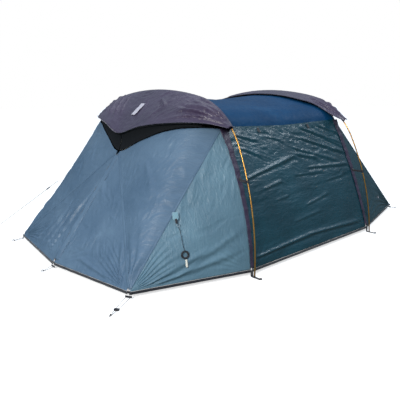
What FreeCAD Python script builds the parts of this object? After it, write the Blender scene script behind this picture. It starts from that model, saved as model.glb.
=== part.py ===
import FreeCAD, Part
import math
import os
from FreeCAD import Vector

# Tunnel tent on two outside poles. Millimetres and degrees, +Z up, +X is the right-hand side.
# The origin is on the ground, midway between the hoops and midway between their feet.
# The porch and its door face -Y. "left" is the -X side.

# ---- hoops: each pole bends in one plane, through five arcs that meet smoothly
hoop_half_width = 1100.0      # pole centre line at the ground
hoop_height = 1250.0          # pole centre line at the crown, along the hoop's plane
hoop_spacing = 1570.0         # between the front and the rear pole feet
front_lean = 2.3              # the front hoop leans back
rear_lean = 6.3               # the rear hoop leans forward
leg_bend = 2060.0             # bend radii of the pole's centre line
shoulder_bend = 585.0
crown_bend = 2480.0

pole_diameter = 11.0
pole_bore = 9.0
pole_sections = 8
pole_foot_height = 10.5       # the lowest tube starts this far up the leg
ferrule_length = 90.0
ferrule_clearance = 0.2       # on the diameter, in the tube's bore
ferrule_bore = 5.0
shock_cord_diameter = 2.5
tip_plug_length = 25.0
tip_collar_diameter = 12.0
tip_collar_length = 6.0
tip_spike_diameter = 5.0

sleeve_bore = 13.4
sleeve_wall = 0.8
sleeve_end_height = 1000.0    # the sleeve stops here, above the bare leg

# ---- fly
fabric = 1.5                  # thickness that stands for the coated cloth
seam_gap = 8.0                # each panel's corners stop this short of the seam's corner
hem_height = 50.0
hem_half_width = 1068.0       # fly edge at the hoops
eave_half_width = 735.0
eave_height = 1005.0
fly_crown_height = 1230.0     # along the hoop's plane, just under the sleeve
roof_sag = 52.0               # the ridge hangs this far lower halfway between the hoops
eave_sag = 22.0
eave_pull = 18.0              # and the eave is pulled in by this much there
eave_round = 200.0            # radius where the roof turns down into the wall
front_leg_bulge = 60.0        # how far the fly edge bows out between eave and hem
middle_bulge = 30.0
rear_leg_bulge = 28.0
panel_setback = 6.0           # fly panels stop this far from a hoop's plane

corner_half_width = 806.0     # front and rear hem corners
front_corner_reach = 836.0    # in front of the front feet
rear_corner_reach = 970.0     # behind the rear feet
door_foot_reach = 945.0       # the door's centre hem point
rear_centre_reach = 985.0
door_top_reach = 350.0        # the top of the door zip
door_top_height = 810.0
door_gap = 3.0                # between a door leaf and its frame
zip_half_width = 6.0          # each leaf's edge stops this far from the centre line

hood_thickness = 1.5
hood_rise = 18.0              # hood cloth above the pole's centre line
mesh_thickness = 1.0
vent_sill_gap = 6.0
lip_setback = 22.0            # the mesh meets the hood this far behind its lip
lip_rod_diameter = 6.0

# ---- webbing, pegs and cords
binding_height = 20.0
binding_thickness = 3.0
strap_width = 28.0
strap_thickness = 2.0
foot_strap_reach = 1160.0     # outer end of the foot straps
foot_peg_x = 1150.0
foot_peg_hole = 8.0
eyelet_outer = 18.0
eyelet_bore = 8.0
eyelet_thickness = 3.0
eyelet_clearance = 0.4        # on the diameter, in the strap's hole

peg_diameter = 5.0
peg_length = 180.0            # straight shaft
peg_head_height = 8.0         # straight shaft that shows above the ground
peg_hook_radius = 7.0
peg_tilt = 15.0
corner_cord_diameter = 3.0
corner_cord_spread = 16.0     # half the distance between the cord's two hem eyelets
right_corner_reach = 225.0    # peg's distance from the front right hem corner
corner_reach = 75.0           # and from the other hem corners
corner_tab_height = 14.0
corner_tab_thickness = 4.0
cord_lock_width = 32.0
cord_lock_slot = 27.0
cord_lock_length = 18.0

front_clip_height = 655.0
rear_clip_height = 560.0
clip_bore = 12.4
clip_wall = 2.6
clip_length = 24.0
clip_strap_width = 18.0
guy_diameter = 3.0
guy_ring_radius = 9.0
guy_ring_wire = 3.0
storm_corner_share = 0.545    # storm guys hang this far towards the porch corner
storm_patch_height = 458.0
storm_hank_height = 231.0
guy_peg_x = 1205.0
guy_peg_reach = 995.0         # in front of the front feet
guy_runner_share = 0.45       # the runner sits this far down the guy
guy_tail = 110.0              # the second strand ends this far above the runner

storm_ring_radius = 10.0
storm_hank_radius = 32.0
storm_hank_thickness = 8.0
storm_toggle_diameter = 16.0
storm_toggle_length = 50.0

# ---- inner tent
inner_floor_half_width = 950.0
inner_rear_half_width = 700.0
inner_front_setback = 120.0   # behind the front feet
inner_rear_reach = 830.0      # behind the rear feet
inner_tub_height = 90.0
inner_eave_half_width = 655.0
inner_eave_height = 930.0
inner_crown_height = 1130.0
inner_roof_rear_reach = -190.0   # the inner roof ends this far from the rear feet
inner_fabric = 1.5
doorway_half_width = 400.0
doorway_sill = 120.0
doorway_spring = 560.0        # the doorway's straight sides end here
inner_door_gap = 2.5
inner_mesh_margin = 70.0
hanger_diameter = 5.0

front_y = -hoop_spacing / 2
rear_y = hoop_spacing / 2
front_hoop = (front_y, front_lean)
rear_hoop = (rear_y, -rear_lean)
middle = (0.0, 0.0)
right = 1
left = -1


# ---------------------------------------------------------------- plane of a hoop

def lean_of(hoop):
    angle = math.radians(hoop[1])
    return math.sin(angle), math.cos(angle)


def on_hoop(hoop, x, height, ahead=0.0):
    # a point of the hoop's plane, or "ahead" of it towards +Y
    sine, cosine = lean_of(hoop)
    return Vector(x, hoop[0] + height * sine + ahead * cosine, height * cosine - ahead * sine)


def hoop_arcs(offset=0.0):
    # five arcs from the right foot to the left foot: centre, radius, start and end angle
    leg_centre = (hoop_half_width - leg_bend, 0.0)
    crown_centre = (0.0, hoop_height - crown_bend)
    reach_leg = leg_bend - shoulder_bend
    reach_crown = crown_bend - shoulder_bend
    across = crown_centre[0] - leg_centre[0]
    up = crown_centre[1] - leg_centre[1]
    span = math.hypot(across, up)
    along = (reach_leg ** 2 - reach_crown ** 2 + span ** 2) / (2 * span)
    side = math.sqrt(reach_leg ** 2 - along ** 2)
    shoulder = (leg_centre[0] + (across * along - up * side) / span,
                leg_centre[1] + (up * along + across * side) / span)
    leg_turn = math.atan2(shoulder[1] - leg_centre[1], shoulder[0] - leg_centre[0])
    crown_turn = math.atan2(shoulder[1] - crown_centre[1], shoulder[0] - crown_centre[0])
    half = [(leg_centre, leg_bend + offset, 0.0, leg_turn),
            (shoulder, shoulder_bend + offset, leg_turn, crown_turn)]
    whole = half + [(crown_centre, crown_bend + offset, crown_turn, math.pi - crown_turn)]
    for centre, radius, start, end in reversed(half):
        whole.append(((-centre[0], centre[1]), radius, math.pi - end, math.pi - start))
    return whole


def arc_point(arc, angle):
    centre, radius = arc[0], arc[1]
    return centre[0] + radius * math.cos(angle), centre[1] + radius * math.sin(angle)


def pole_length():
    return sum(radius * (end - start) for _, radius, start, end in hoop_arcs())


def length_at_height(height):
    # distance along the pole from the right foot to this height on the right leg
    run = 0.0
    for arc in hoop_arcs():
        centre, radius, start, end = arc
        top = arc_point(arc, min(end, math.pi / 2))[1]
        if height <= top:
            return run + radius * (math.asin((height - centre[1]) / radius) - start)
        run += radius * (end - start)
    return run


def crest(x, offset=0.0):
    # height of the pole's line, moved out by offset, above this x
    for arc in hoop_arcs(offset):
        low = arc_point(arc, arc[2])[0]
        high = arc_point(arc, arc[3])[0]
        if high <= x <= low:
            return arc[0][1] + math.sqrt(arc[1] ** 2 - (x - arc[0][0]) ** 2)
    return 0.0


def pole_path(hoop, begin, end):
    # the stretch of the pole's centre line between two lengths, as one wire
    edges = []
    run = 0.0
    for arc in hoop_arcs():
        radius, start, finish = arc[1], arc[2], arc[3]
        length = radius * (finish - start)
        low = max(begin - run, 0.0)
        high = min(end - run, length)
        if high - low > 1e-6:
            angles = [start + low / radius, start + (low + high) / 2 / radius, start + high / radius]
            points = [on_hoop(hoop, *arc_point(arc, angle)) for angle in angles]
            edges.append(Part.Arc(*points).toShape())
        run += length
    return Part.Wire(edges)


def rod_along(wire, diameter):
    first = wire.OrderedEdges[0]
    start = first.valueAt(first.FirstParameter)
    direction = first.tangentAt(first.FirstParameter)
    if (wire.OrderedVertexes[0].Point - start).Length > 1e-6:
        start = first.valueAt(first.LastParameter)
        direction = first.tangentAt(first.LastParameter)
    ring = Part.Wire(Part.makeCircle(diameter / 2, start, direction))
    return wire.makePipeShell([ring], True, True)


def tube_along(wire, outer, bore):
    return rod_along(wire, outer).cut(rod_along(wire, bore))


# ---------------------------------------------------------------- cloth and webbing

def flip(point):
    return Vector(-point.x, point.y, point.z)


def middle_of(points):
    total = Vector()
    for point in points:
        total = total + point
    return total * (1.0 / len(points))


def pulled_in(points, gap):
    centre = middle_of(points)
    return [point + (centre - point).normalize() * gap for point in points]


def folded_sheet(triangles, push):
    # flat triangles joined along their edges, all given the same thickness
    prisms = []
    for a, b, c in triangles:
        prisms.append(Part.Face(Part.makePolygon([a, b, c, a])).extrude(push))
    if len(prisms) == 1:
        return prisms[0]
    return prisms[0].multiFuse(prisms[1:]).removeSplitter()


def fan(apex, edge):
    return [(apex, edge[i], edge[i + 1]) for i in range(len(edge) - 1)]


def strip(lower, upper):
    triangles = []
    for i in range(len(lower) - 1):
        triangles.append((lower[i], lower[i + 1], upper[i]))
        triangles.append((lower[i + 1], upper[i + 1], upper[i]))
    return triangles


def flat_bar(start, end, height, thickness, outward):
    # a strip of webbing on edge, hanging below the line from start to end
    rise = Vector(0, 0, -height)
    face = Part.Face(Part.makePolygon([start, end, end + rise, start + rise, start]))
    return face.extrude(outward.normalize() * thickness)


def shortened(start, end, trim):
    direction = (end - start).normalize()
    return start + direction * trim, end - direction * trim


def hoop_edge(hoop, bulge, shares, side, ahead=0.0, out=0.0):
    # the fly's edge beside a hoop, from the eave (share 0) to the hem (share 1)
    points = []
    for share in shares:
        x = eave_half_width + share * (hem_half_width - eave_half_width)
        x += 4 * bulge * share * (1 - share) + out
        height = eave_height + share * (hem_height - eave_height)
        points.append(on_hoop(hoop, side * x, height, ahead))
    return points


thirds = (0.0, 1 / 3, 2 / 3, 1.0)


# ---------------------------------------------------------------- fly, body

def roof_section(hoop, eave_x, eave_z, crown_z, ahead, thickness, round_radius):
    # a thin band over the tent: wall, eave bend, crown, eave bend, wall
    wall = math.atan2(hem_half_width - eave_half_width, eave_height - hem_height)
    shoulder = (eave_x - round_radius * math.cos(wall), eave_z - round_radius * math.sin(wall))
    top = (shoulder[0] ** 2 + (shoulder[1] - crown_z) ** 2 - round_radius ** 2)
    crown_radius = top / (2 * (crown_z - shoulder[1] - round_radius))
    crown_centre = crown_z - crown_radius
    turn = math.atan2(shoulder[1] - crown_centre, shoulder[0])
    edges = []
    ends = []
    for inset in (0.0, thickness):
        bend = round_radius - inset
        rows = []
        middle_turn = (wall + turn) / 2
        for side, angles in ((right, (wall, middle_turn, turn)), (left, (turn, middle_turn, wall))):
            rows.append([on_hoop(hoop, side * (shoulder[0] + bend * math.cos(angle)),
                                 shoulder[1] + bend * math.sin(angle), ahead) for angle in angles])
        peak = on_hoop(hoop, 0.0, crown_z - inset, ahead)
        outline = [Part.Arc(*rows[0]).toShape(),
                   Part.Arc(rows[0][2], peak, rows[1][0]).toShape(),
                   Part.Arc(*rows[1]).toShape()]
        ends.append((rows[0][0], rows[1][2]))
        edges.extend(outline)
    edges.append(Part.makeLine(ends[0][0], ends[1][0]))
    edges.append(Part.makeLine(ends[0][1], ends[1][1]))
    return Part.Wire(Part.__sortEdges__(edges))


def fly_roof():
    front = roof_section(front_hoop, eave_half_width, eave_height, fly_crown_height,
                         panel_setback, fabric, eave_round)
    centre = roof_section(middle, eave_half_width - eave_pull, eave_height - eave_sag,
                          fly_crown_height - roof_sag, 0.0, fabric, eave_round)
    rear = roof_section(rear_hoop, eave_half_width, eave_height, fly_crown_height,
                        -panel_setback, fabric, eave_round)
    halves = [Part.makeLoft([front, centre], True, True), Part.makeLoft([centre, rear], True, True)]
    return halves[0].fuse(halves[1])


def middle_edge(side):
    points = []
    for share in thirds:
        x = eave_half_width - eave_pull * (1 - share)
        x += share * (hem_half_width - eave_half_width) + 4 * middle_bulge * share * (1 - share)
        z = eave_height - eave_sag * (1 - share) + share * (hem_height - eave_height)
        points.append(Vector(side * x, 0.0, z))
    return points


def fly_wall(side):
    front = hoop_edge(front_hoop, front_leg_bulge, thirds, side, panel_setback)
    rear = hoop_edge(rear_hoop, rear_leg_bulge, thirds, side, -panel_setback)
    centre = middle_edge(side)
    drop = Vector(0, 0, -3.0)
    for row in (front, centre, rear):
        row[0] = row[0] + drop
    return folded_sheet(strip(front, centre) + strip(centre, rear), Vector(-side * fabric, 0, 0))


# ---------------------------------------------------------------- fly, porch

door_top = Vector(0, front_y - door_top_reach, door_top_height)
door_foot = Vector(0, front_y - door_foot_reach, hem_height)


def front_corner(side):
    return Vector(side * corner_half_width, front_y - front_corner_reach, hem_height)


def rear_corner(side):
    return Vector(side * corner_half_width, rear_y + rear_corner_reach, hem_height)


def vent_sill(side):
    # top edge of the porch front, from the zip's top to the eave at the front hoop
    inner = [(0, door_top_reach, door_top_height), (220, 300, 900), (430, 222, 980), (640, 100, 1008)]
    points = [Vector(side * x, front_y - reach, z) for x, reach, z in inner]
    return points + hoop_edge(front_hoop, 0.0, (0.0,), side, -panel_setback)


def front_lip(side):
    # lower edge of the front hood, from its peak over the door to the pole sleeve's end
    outline = [(0, 350, 945), (230, 310, 1005), (450, 240, 1035),
               (620, 150, 1042), (740, 82, 1034), (848, 12, 1008)]
    return [Vector(side * x, front_y - reach, z) for x, reach, z in outline]


def front_panel(side):
    sill = vent_sill(side)
    points = pulled_in([front_corner(side)] + sill, seam_gap)
    corner, sill = points[0], points[1:]
    sill[0] = sill[0] + Vector(side * 4.0, 0, 0)
    return folded_sheet(fan(corner, sill), Vector(0, fabric * 0.8, -fabric * 0.6))


def leaf_corners(side):
    # the flat door leaf: zip top, hem centre, front corner, each kept off its frame
    corner = front_corner(side)
    beside = Vector(side * zip_half_width, 0, 0)
    hinge = (corner - door_top).normalize()
    inward = (door_foot - door_top).normalize()
    return (door_top + beside + inward * (door_gap * 6) + hinge * door_gap,
            door_foot + beside,
            corner + (door_foot - corner).normalize() * (door_gap * 3) - hinge * door_gap)


def leaf_normal(side):
    corner = front_corner(side)
    return (corner - door_top).cross(door_foot - door_top).normalize() * (-side)


def door_leaf(side):
    corners = leaf_corners(side)
    return folded_sheet([corners], leaf_normal(side) * -fabric)


def porch_side(side):
    edge = hoop_edge(front_hoop, front_leg_bulge, thirds, side, -panel_setback)
    points = pulled_in([front_corner(side)] + edge, seam_gap)
    return folded_sheet(fan(points[0], points[1:]), Vector(-side * fabric, 0, 0))


def both_sides(row):
    return [flip(point) for point in reversed(row[1:])] + row


def hood_ridge(hoop):
    # the hood's line over the pole sleeve
    return [on_hoop(hoop, x, crest(x, hood_rise)) for x in (0, 230, 450, 620, 740, 848)]


def front_hood():
    upper = both_sides(hood_ridge(front_hoop))
    lower = both_sides(front_lip(right))
    return folded_sheet(strip(lower, upper), Vector(0, 0, -hood_thickness))


def front_vent_mesh(side):
    sill = [point + Vector(side * 3, 0, vent_sill_gap) for point in vent_sill(side)[:4]]
    lip = [point + Vector(side * 3, lip_setback, -vent_sill_gap) for point in front_lip(side)[:4]]
    return folded_sheet(strip(sill, lip), Vector(0, mesh_thickness, 0))


def lip_rod():
    # springy rod sewn into the front hood's lip
    drop = Vector(0, lip_setback / 2, -hood_thickness - lip_rod_diameter / 2 - 0.5)
    points = [point + drop for point in front_lip(right)[:4]]
    return rod_along(rounded_route(both_sides(points)), lip_rod_diameter)


# ---------------------------------------------------------------- fly, rear

def rear_sill(side):
    inner = [(0, 110, 1072), (230, 100, 1066), (430, 75, 1050), (640, 20, 1020)]
    points = [Vector(side * x, rear_y + reach, z) for x, reach, z in inner]
    return points + hoop_edge(rear_hoop, 0.0, (0.0,), side, panel_setback)


def rear_lip(side):
    outline = [(0, 150, 1120), (230, 138, 1112), (450, 105, 1092),
               (620, 50, 1064), (740, -12, 1034), (848, -84, 1004)]
    return [Vector(side * x, rear_y + reach, z) for x, reach, z in outline]


def rear_hood_brim(side):
    # front edge of the rear hood, lying just above the roof
    outline = [(0, 256, 1228), (230, 258, 1217), (450, 252, 1184),
               (620, 215, 1138), (745, 162, 1056), (852, 146, 1001)]
    return [Vector(side * x, rear_y - reach, z) for x, reach, z in outline]


def rear_hood():
    rows = [both_sides(row) for row in (rear_hood_brim(right), hood_ridge(rear_hoop), rear_lip(right))]
    cloth = strip(rows[0], rows[1]) + strip(rows[1], rows[2])
    return folded_sheet(cloth, Vector(0, 0, -hood_thickness))


def rear_vent_mesh(side):
    sill = [point + Vector(side * 3, 0, vent_sill_gap) for point in rear_sill(side)[:4]]
    lip = [point + Vector(side * 3, -lip_setback, -vent_sill_gap) for point in rear_lip(side)[:4]]
    return folded_sheet(strip(sill, lip), Vector(0, -mesh_thickness, 0))


def rear_panel():
    centre = Vector(0, rear_y + rear_centre_reach, hem_height)
    triangles = []
    for side in (right, left):
        points = pulled_in([rear_corner(side)] + rear_sill(side)[1:], seam_gap)
        top = rear_sill(side)[0]
        triangles += fan(points[0], [centre, top] + points[1:])
    return folded_sheet(triangles, Vector(0, -fabric * 0.7, -fabric * 0.7))


def rear_side(side):
    edge = hoop_edge(rear_hoop, rear_leg_bulge, thirds, side, panel_setback)
    points = pulled_in([rear_corner(side)] + edge, seam_gap)
    return folded_sheet(fan(points[0], points[1:]), Vector(-side * fabric, 0, 0))


# ---------------------------------------------------------------- cords

def rounded_route(points):
    # straight runs joined by arcs, each as large as its two runs allow
    edges = []
    start = points[0]
    radii = []
    for i in range(1, len(points) - 1):
        back = points[i - 1] - points[i]
        onward = points[i + 1] - points[i]
        turn = math.pi - back.getAngle(onward)
        trim = 0.45 * min(back.Length, onward.Length)
        radius = trim / math.tan(turn / 2)
        enter = points[i] + back.normalize() * trim
        leave = points[i] + onward.normalize() * trim
        bisector = (back.normalize() + onward.normalize()).normalize()
        depth = radius / math.cos(turn / 2) - radius
        edges.append(Part.LineSegment(start, enter).toShape())
        edges.append(Part.Arc(enter, points[i] + bisector * depth, leave).toShape())
        radii.append(round(radius, 1))
        start = leave
    edges.append(Part.LineSegment(start, points[-1]).toShape())
    print("  bend radii", radii)
    return Part.Wire(edges)


def cord(name, points, diameter):
    wire = rounded_route(points)
    solid = rod_along(wire, diameter)
    section = math.pi * diameter ** 2 / 4
    share = solid.Volume / (section * wire.Length)
    print(name, "length", round(wire.Length, 1), "volume share", round(share, 4))
    return solid


# ---------------------------------------------------------------- pegs

def foot_pegs():
    pegs = []
    for y in (front_y, rear_y):
        for side in (right, left):
            pegs.append((Vector(side * foot_peg_x, y, 0), Vector(side, 0, 0)))
    return pegs


def peg(ground, out):
    # wire peg: tilted shaft, its hook bending over away from the tent
    tilt = math.radians(peg_tilt)
    up = out * math.sin(tilt) + Vector(0, 0, math.cos(tilt))
    away = out * math.cos(tilt) - Vector(0, 0, math.sin(tilt))
    top = ground + up * (peg_head_height / math.cos(tilt))
    tip = top - up * peg_length
    over = top + away * (2 * peg_hook_radius)
    bend = Part.Arc(top, top + away * peg_hook_radius + up * peg_hook_radius, over)
    wire = Part.Wire([Part.makeLine(tip, top), bend.toShape(), Part.makeLine(over, over - up * 5)])
    return rod_along(wire, peg_diameter)


# ---------------------------------------------------------------- poles

def poles(hoop):
    whole = pole_length()
    begin = pole_foot_height
    step = (whole - 2 * begin) / pole_sections
    joints = [begin + step * i for i in range(pole_sections + 1)]
    tubes = [tube_along(pole_path(hoop, joints[i], joints[i + 1]), pole_diameter, pole_bore)
             for i in range(pole_sections)]
    ferrules = []
    for place in joints[1:-1]:
        path = pole_path(hoop, place - ferrule_length / 2, place + ferrule_length / 2)
        ferrules.append(tube_along(path, pole_bore - ferrule_clearance, ferrule_bore))
    start = begin + tip_plug_length + 1
    elastic = rod_along(pole_path(hoop, start, whole - start), shock_cord_diameter)
    return tubes, ferrules, elastic


def pole_tip(hoop, side):
    # plug in the lowest tube, collar under it, spike through the strap's eyelet
    up = on_hoop(hoop, 0, 1) - on_hoop(hoop, 0, 0)
    foot = on_hoop(hoop, side * hoop_half_width, 0)
    seat = foot + up * (pole_foot_height - 0.1)
    collar = Part.makeCylinder(tip_collar_diameter / 2, tip_collar_length, seat - up * tip_collar_length, up)
    plug_path = pole_path(hoop, pole_foot_height - 0.1, pole_foot_height + tip_plug_length)
    if side == left:
        whole = pole_length()
        plug_path = pole_path(hoop, whole - pole_foot_height - tip_plug_length,
                              whole - pole_foot_height + 0.1)
    plug = rod_along(plug_path, pole_bore - ferrule_clearance)
    spike = Part.makeCylinder(tip_spike_diameter / 2, pole_foot_height - tip_collar_length - 0.6,
                              foot + up * 0.6, up)
    return collar.fuse(plug).fuse(spike)


def pole_sleeve(hoop):
    start = length_at_height(sleeve_end_height)
    path = pole_path(hoop, start, pole_length() - start)
    return tube_along(path, sleeve_bore + 2 * sleeve_wall, sleeve_bore)


# ---------------------------------------------------------------- clips, straps, bands

def leg_band(hoop, bulge, side):
    shares = (0.03, 1 / 3, 2 / 3, 0.985)
    front = hoop_edge(hoop, bulge, shares, side, -24.0, 4.0)
    rear = hoop_edge(hoop, bulge, shares, side, 24.0, 4.0)
    return folded_sheet(strip(front, rear), Vector(side * 1.5, 0, 0))


def leg_point(hoop, height, side):
    x = arc_point(hoop_arcs()[0], math.asin(height / leg_bend))[0]
    return on_hoop(hoop, side * x, height)


def leg_direction(hoop, height, side):
    turn = math.asin(height / leg_bend)
    return (on_hoop(hoop, -side * math.sin(turn), math.cos(turn)) - on_hoop(hoop, 0, 0)).normalize()


def pole_clip(hoop, height, side):
    # a plastic hook round the pole, open on its outer side
    up = leg_direction(hoop, height, side)
    base = leg_point(hoop, height, side) - up * (clip_length / 2)
    body = Part.makeCylinder(clip_bore / 2 + clip_wall, clip_length, base, up)
    bore = Part.makeCylinder(clip_bore / 2, clip_length, base, up)
    slot = Part.makeBox(20, 6, clip_length * 1.4)
    slot.Placement = FreeCAD.Placement(base + Vector(0 if side == right else -20, 0, -4), FreeCAD.Rotation())
    slot.translate(Vector(0, -3, 0))
    return body.cut(bore).cut(slot)


def clip_strap(hoop, bulge, height, side):
    # webbing from the leg band out to the clip
    share = (eave_height - height) / (eave_height - hem_height)
    inner = hoop_edge(hoop, bulge, (share,), side, 0.0, 8.0)[0]
    up = leg_direction(hoop, height, side)
    inward = up.cross(Vector(0, 1, 0)).normalize() * side
    outer = leg_point(hoop, height, side) + inward * (clip_bore / 2 + clip_wall + 0.3)
    half = up * (clip_strap_width / 2)
    inner = Vector(inner.x, outer.y, inner.z)
    face = Part.Face(Part.makePolygon([inner - half, outer - half, outer + half, inner + half, inner - half]))
    face.translate(Vector(0, -strap_thickness / 2, 0))
    return face.extrude(Vector(0, strap_thickness, 0))


def foot_strap(y, side):
    # webbing from the hem down and out under the pole's foot to the peg
    inner = hem_half_width + binding_thickness + 2
    plate_bottom = 1.0
    plate = Part.makeBox(foot_strap_reach - inner, strap_width, strap_thickness,
                         Vector(inner, y - strap_width / 2, plate_bottom))
    riser = Part.makeBox(strap_thickness, strap_width, hem_height - 6 - plate_bottom,
                         Vector(inner, y - strap_width / 2, plate_bottom))
    strap = plate.fuse(riser).removeSplitter()
    eyelet_hole = Part.makeCylinder((eyelet_outer + eyelet_clearance) / 2, 20, Vector(hoop_half_width, y, -5))
    peg_hole = Part.makeCylinder(foot_peg_hole / 2, 20, Vector(foot_peg_x, y, -5))
    strap = strap.cut(eyelet_hole).cut(peg_hole)
    return strap if side == right else strap.mirror(Vector(), Vector(1, 0, 0))


def eyelet(y, side):
    base = Vector(side * hoop_half_width, y, 0.5)
    ring = Part.makeCylinder(eyelet_outer / 2, eyelet_thickness, base)
    return ring.cut(Part.makeCylinder(eyelet_bore / 2, eyelet_thickness, base))


def clip_ring(side):
    # small ring on the outer front of each front clip, for a guy
    centre = leg_point(front_hoop, front_clip_height, side)
    reach = clip_bore / 2 + clip_wall + guy_ring_radius + guy_ring_wire / 2 + 0.5
    return ring_at(centre + Vector(0, -reach, 0), Vector(1, 0, 0), guy_ring_radius, guy_ring_wire)


# ---------------------------------------------------------------- hem binding

def hem_line(points, side):
    bars = []
    for start, end in points:
        start, end = shortened(start, end, seam_gap)
        run = end - start
        out = Vector(run.y, -run.x, 0)
        if out.x * side < 0 and abs(out.x) > abs(out.y):
            out = out * -1
        drop = Vector(0, 0, -2.0)
        bars.append(flat_bar(start + drop, end + drop, binding_height, binding_thickness, out))
    return bars


def body_hem():
    bars = []
    for side in (right, left):
        front_foot = hoop_edge(front_hoop, 0.0, (1.0,), side)[0]
        rear_foot = hoop_edge(rear_hoop, 0.0, (1.0,), side)[0]
        centre = Vector(0, rear_y + rear_centre_reach, hem_height)
        bars += hem_line([(front_corner(side), front_foot), (front_foot, rear_foot),
                          (rear_foot, rear_corner(side))], side)
        start, end = shortened(rear_corner(side), centre, seam_gap)
        bars.append(flat_bar(start + Vector(0, 0, -2), end + Vector(0, 0, -2), binding_height,
                             binding_thickness, Vector(0, 1, 0)))
    return bars


def leaf_hem(side):
    corners = leaf_corners(side)
    start, end = shortened(corners[1], corners[2], 2.0)
    drop = Vector(0, 0, -2.0)
    return flat_bar(start + drop, end + drop, binding_height - 2, binding_thickness, Vector(0, 1, 0))


# ---------------------------------------------------------------- door zip

def on_leaf(side, down, across, out):
    # a point of a door leaf: down its zip edge, across towards its corner, and out of its face
    edge = (door_foot - door_top).normalize()
    normal = leaf_normal(side)
    sideways = edge.cross(normal).normalize()
    if sideways.x * side < 0:
        sideways = sideways * -1
    return door_top + edge * down + sideways * across + normal * out


def leaf_box(side, downs, acrosses, outs):
    # a block in the leaf's own directions; outs may differ at the two edges across
    corners = [on_leaf(side, downs[0], acrosses[0], outs[0]), on_leaf(side, downs[0], acrosses[1], outs[1]),
               on_leaf(side, downs[1], acrosses[1], outs[1]), on_leaf(side, downs[1], acrosses[0], outs[0])]
    return Part.Face(Part.makePolygon(corners + [corners[0]]))


def zip_chain(side):
    face = leaf_box(side, (34, 948), (0.6, zip_half_width - 0.4), (0, 0))
    return face.extrude(leaf_normal(side) * -fabric)


def storm_flap():
    # covers the slider from outside, sewn to the right leaf along its far edge
    return leaf_box(right, (44, 936), (0.8, 42.0), (9.0, 0.8)).extrude(leaf_normal(right) * fabric)


def door_slider():
    return leaf_box(right, (60, 76), (0.6, 11.0), (1.0, 1.0)).extrude(leaf_normal(right) * 5.0)


def door_puller():
    return leaf_box(right, (76.2, 118), (1.4, 9.0), (2.4, 2.4)).extrude(leaf_normal(right) * 2.0)


# ---------------------------------------------------------------- storm guys on the porch sides

def side_surface(side, corner_share, height):
    # a point of the porch side panel, and the panel's outward direction there
    corner = front_corner(side)
    edge = hoop_edge(front_hoop, front_leg_bulge, thirds, side, -panel_setback)
    wanted = (height - corner_share * corner.z) / (1 - corner_share)
    i = 0
    while i < 2 and edge[i + 1].z > wanted:
        i += 1
    step = (edge[i].z - wanted) / (edge[i].z - edge[i + 1].z)
    on_edge = edge[i] + (edge[i + 1] - edge[i]) * step
    out = (edge[i] - corner).cross(edge[i + 1] - corner).normalize()
    if out.x * side < 0:
        out = out * -1
    return corner * corner_share + on_edge * (1 - corner_share), out


def down_along(out):
    drop = Vector(0, 0, -1)
    return (drop - out * drop.dot(out)).normalize()


def plate_on(place, out, width, height, thickness):
    down = down_along(out)
    across = out.cross(down)
    corners = [place + across * (sx * width / 2) + down * (sy * height / 2)
               for sx, sy in ((-1, -1), (1, -1), (1, 1), (-1, 1))]
    return Part.Face(Part.makePolygon(corners + [corners[0]])).extrude(out * thickness)


def ring_at(centre, axis, radius, wire):
    return Part.makeTorus(radius, wire / 2, centre, axis)


def storm_place(side, height, gap):
    surface, out = side_surface(side, storm_corner_share, height)
    return surface + out * gap, out


def storm_patch(side):
    place, out = storm_place(side, storm_patch_height, 0.5)
    return plate_on(place, out, 42, 52, 1.5)


def storm_loop(side):
    # webbing below the patch that holds the ring
    place, out = storm_place(side, storm_patch_height - 37, 2.5)
    return plate_on(place, out, 14, 20, 3.0)


def storm_ring(side):
    place, out = storm_place(side, storm_patch_height - 58, 4.0)
    return ring_at(place, out, storm_ring_radius, guy_ring_wire)


def storm_hank(side):
    # the storm guy wound into a flat hank
    place, out = storm_place(side, storm_hank_height, storm_hank_thickness / 2 + 3)
    return ring_at(place, out, storm_hank_radius, storm_hank_thickness)


def storm_cord(side):
    heights = (storm_patch_height - 70, storm_patch_height - 96, storm_patch_height - 126,
               storm_hank_height + storm_hank_radius + 7)
    points = []
    for height, sway, gap in zip(heights, (0, 4, -3, 0), (4.0, 4.5, 4.5, 7.0)):
        place, out = storm_place(side, height, gap)
        points.append(place + Vector(0, sway, 0))
    return cord("storm cord", points, guy_diameter)


def storm_toggle(side):
    foot = storm_hank_height - storm_hank_radius
    high, out = storm_place(side, foot - 7, storm_toggle_diameter / 2 + 3)
    low, out = storm_place(side, foot - 50, storm_toggle_diameter / 2 + 3)
    along = (low - high).normalize()
    body = Part.makeCylinder(storm_toggle_diameter / 2, storm_toggle_length, high, along)
    return body.cut(Part.makeCylinder(2.2, 40, high + along * 9 - out * 20, out))


# ---------------------------------------------------------------- small tabs

def wall_point(side, y, share):
    # a point of the fly wall in front of or behind its middle
    if y < 0:
        edge = hoop_edge(front_hoop, front_leg_bulge, (share,), side, panel_setback)[0]
    else:
        edge = hoop_edge(rear_hoop, rear_leg_bulge, (share,), side, -panel_setback)[0]
    centre = middle_edge(side)
    first = centre[0] + (centre[1] - centre[0]) * (share * 3)
    return first + (edge - first) * (y / edge.y)


def eave_tab(y, side):
    high = wall_point(side, y, 0.012) + Vector(side * 4, -9, 0)
    low = wall_point(side, y, 0.040) + Vector(side * 4, -9, 0)
    broad = Vector(0, 18, 0)
    face = Part.Face(Part.makePolygon([high, low, low + broad, high + broad, high]))
    return face.extrude(Vector(side * strap_thickness, 0, 0))


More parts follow.
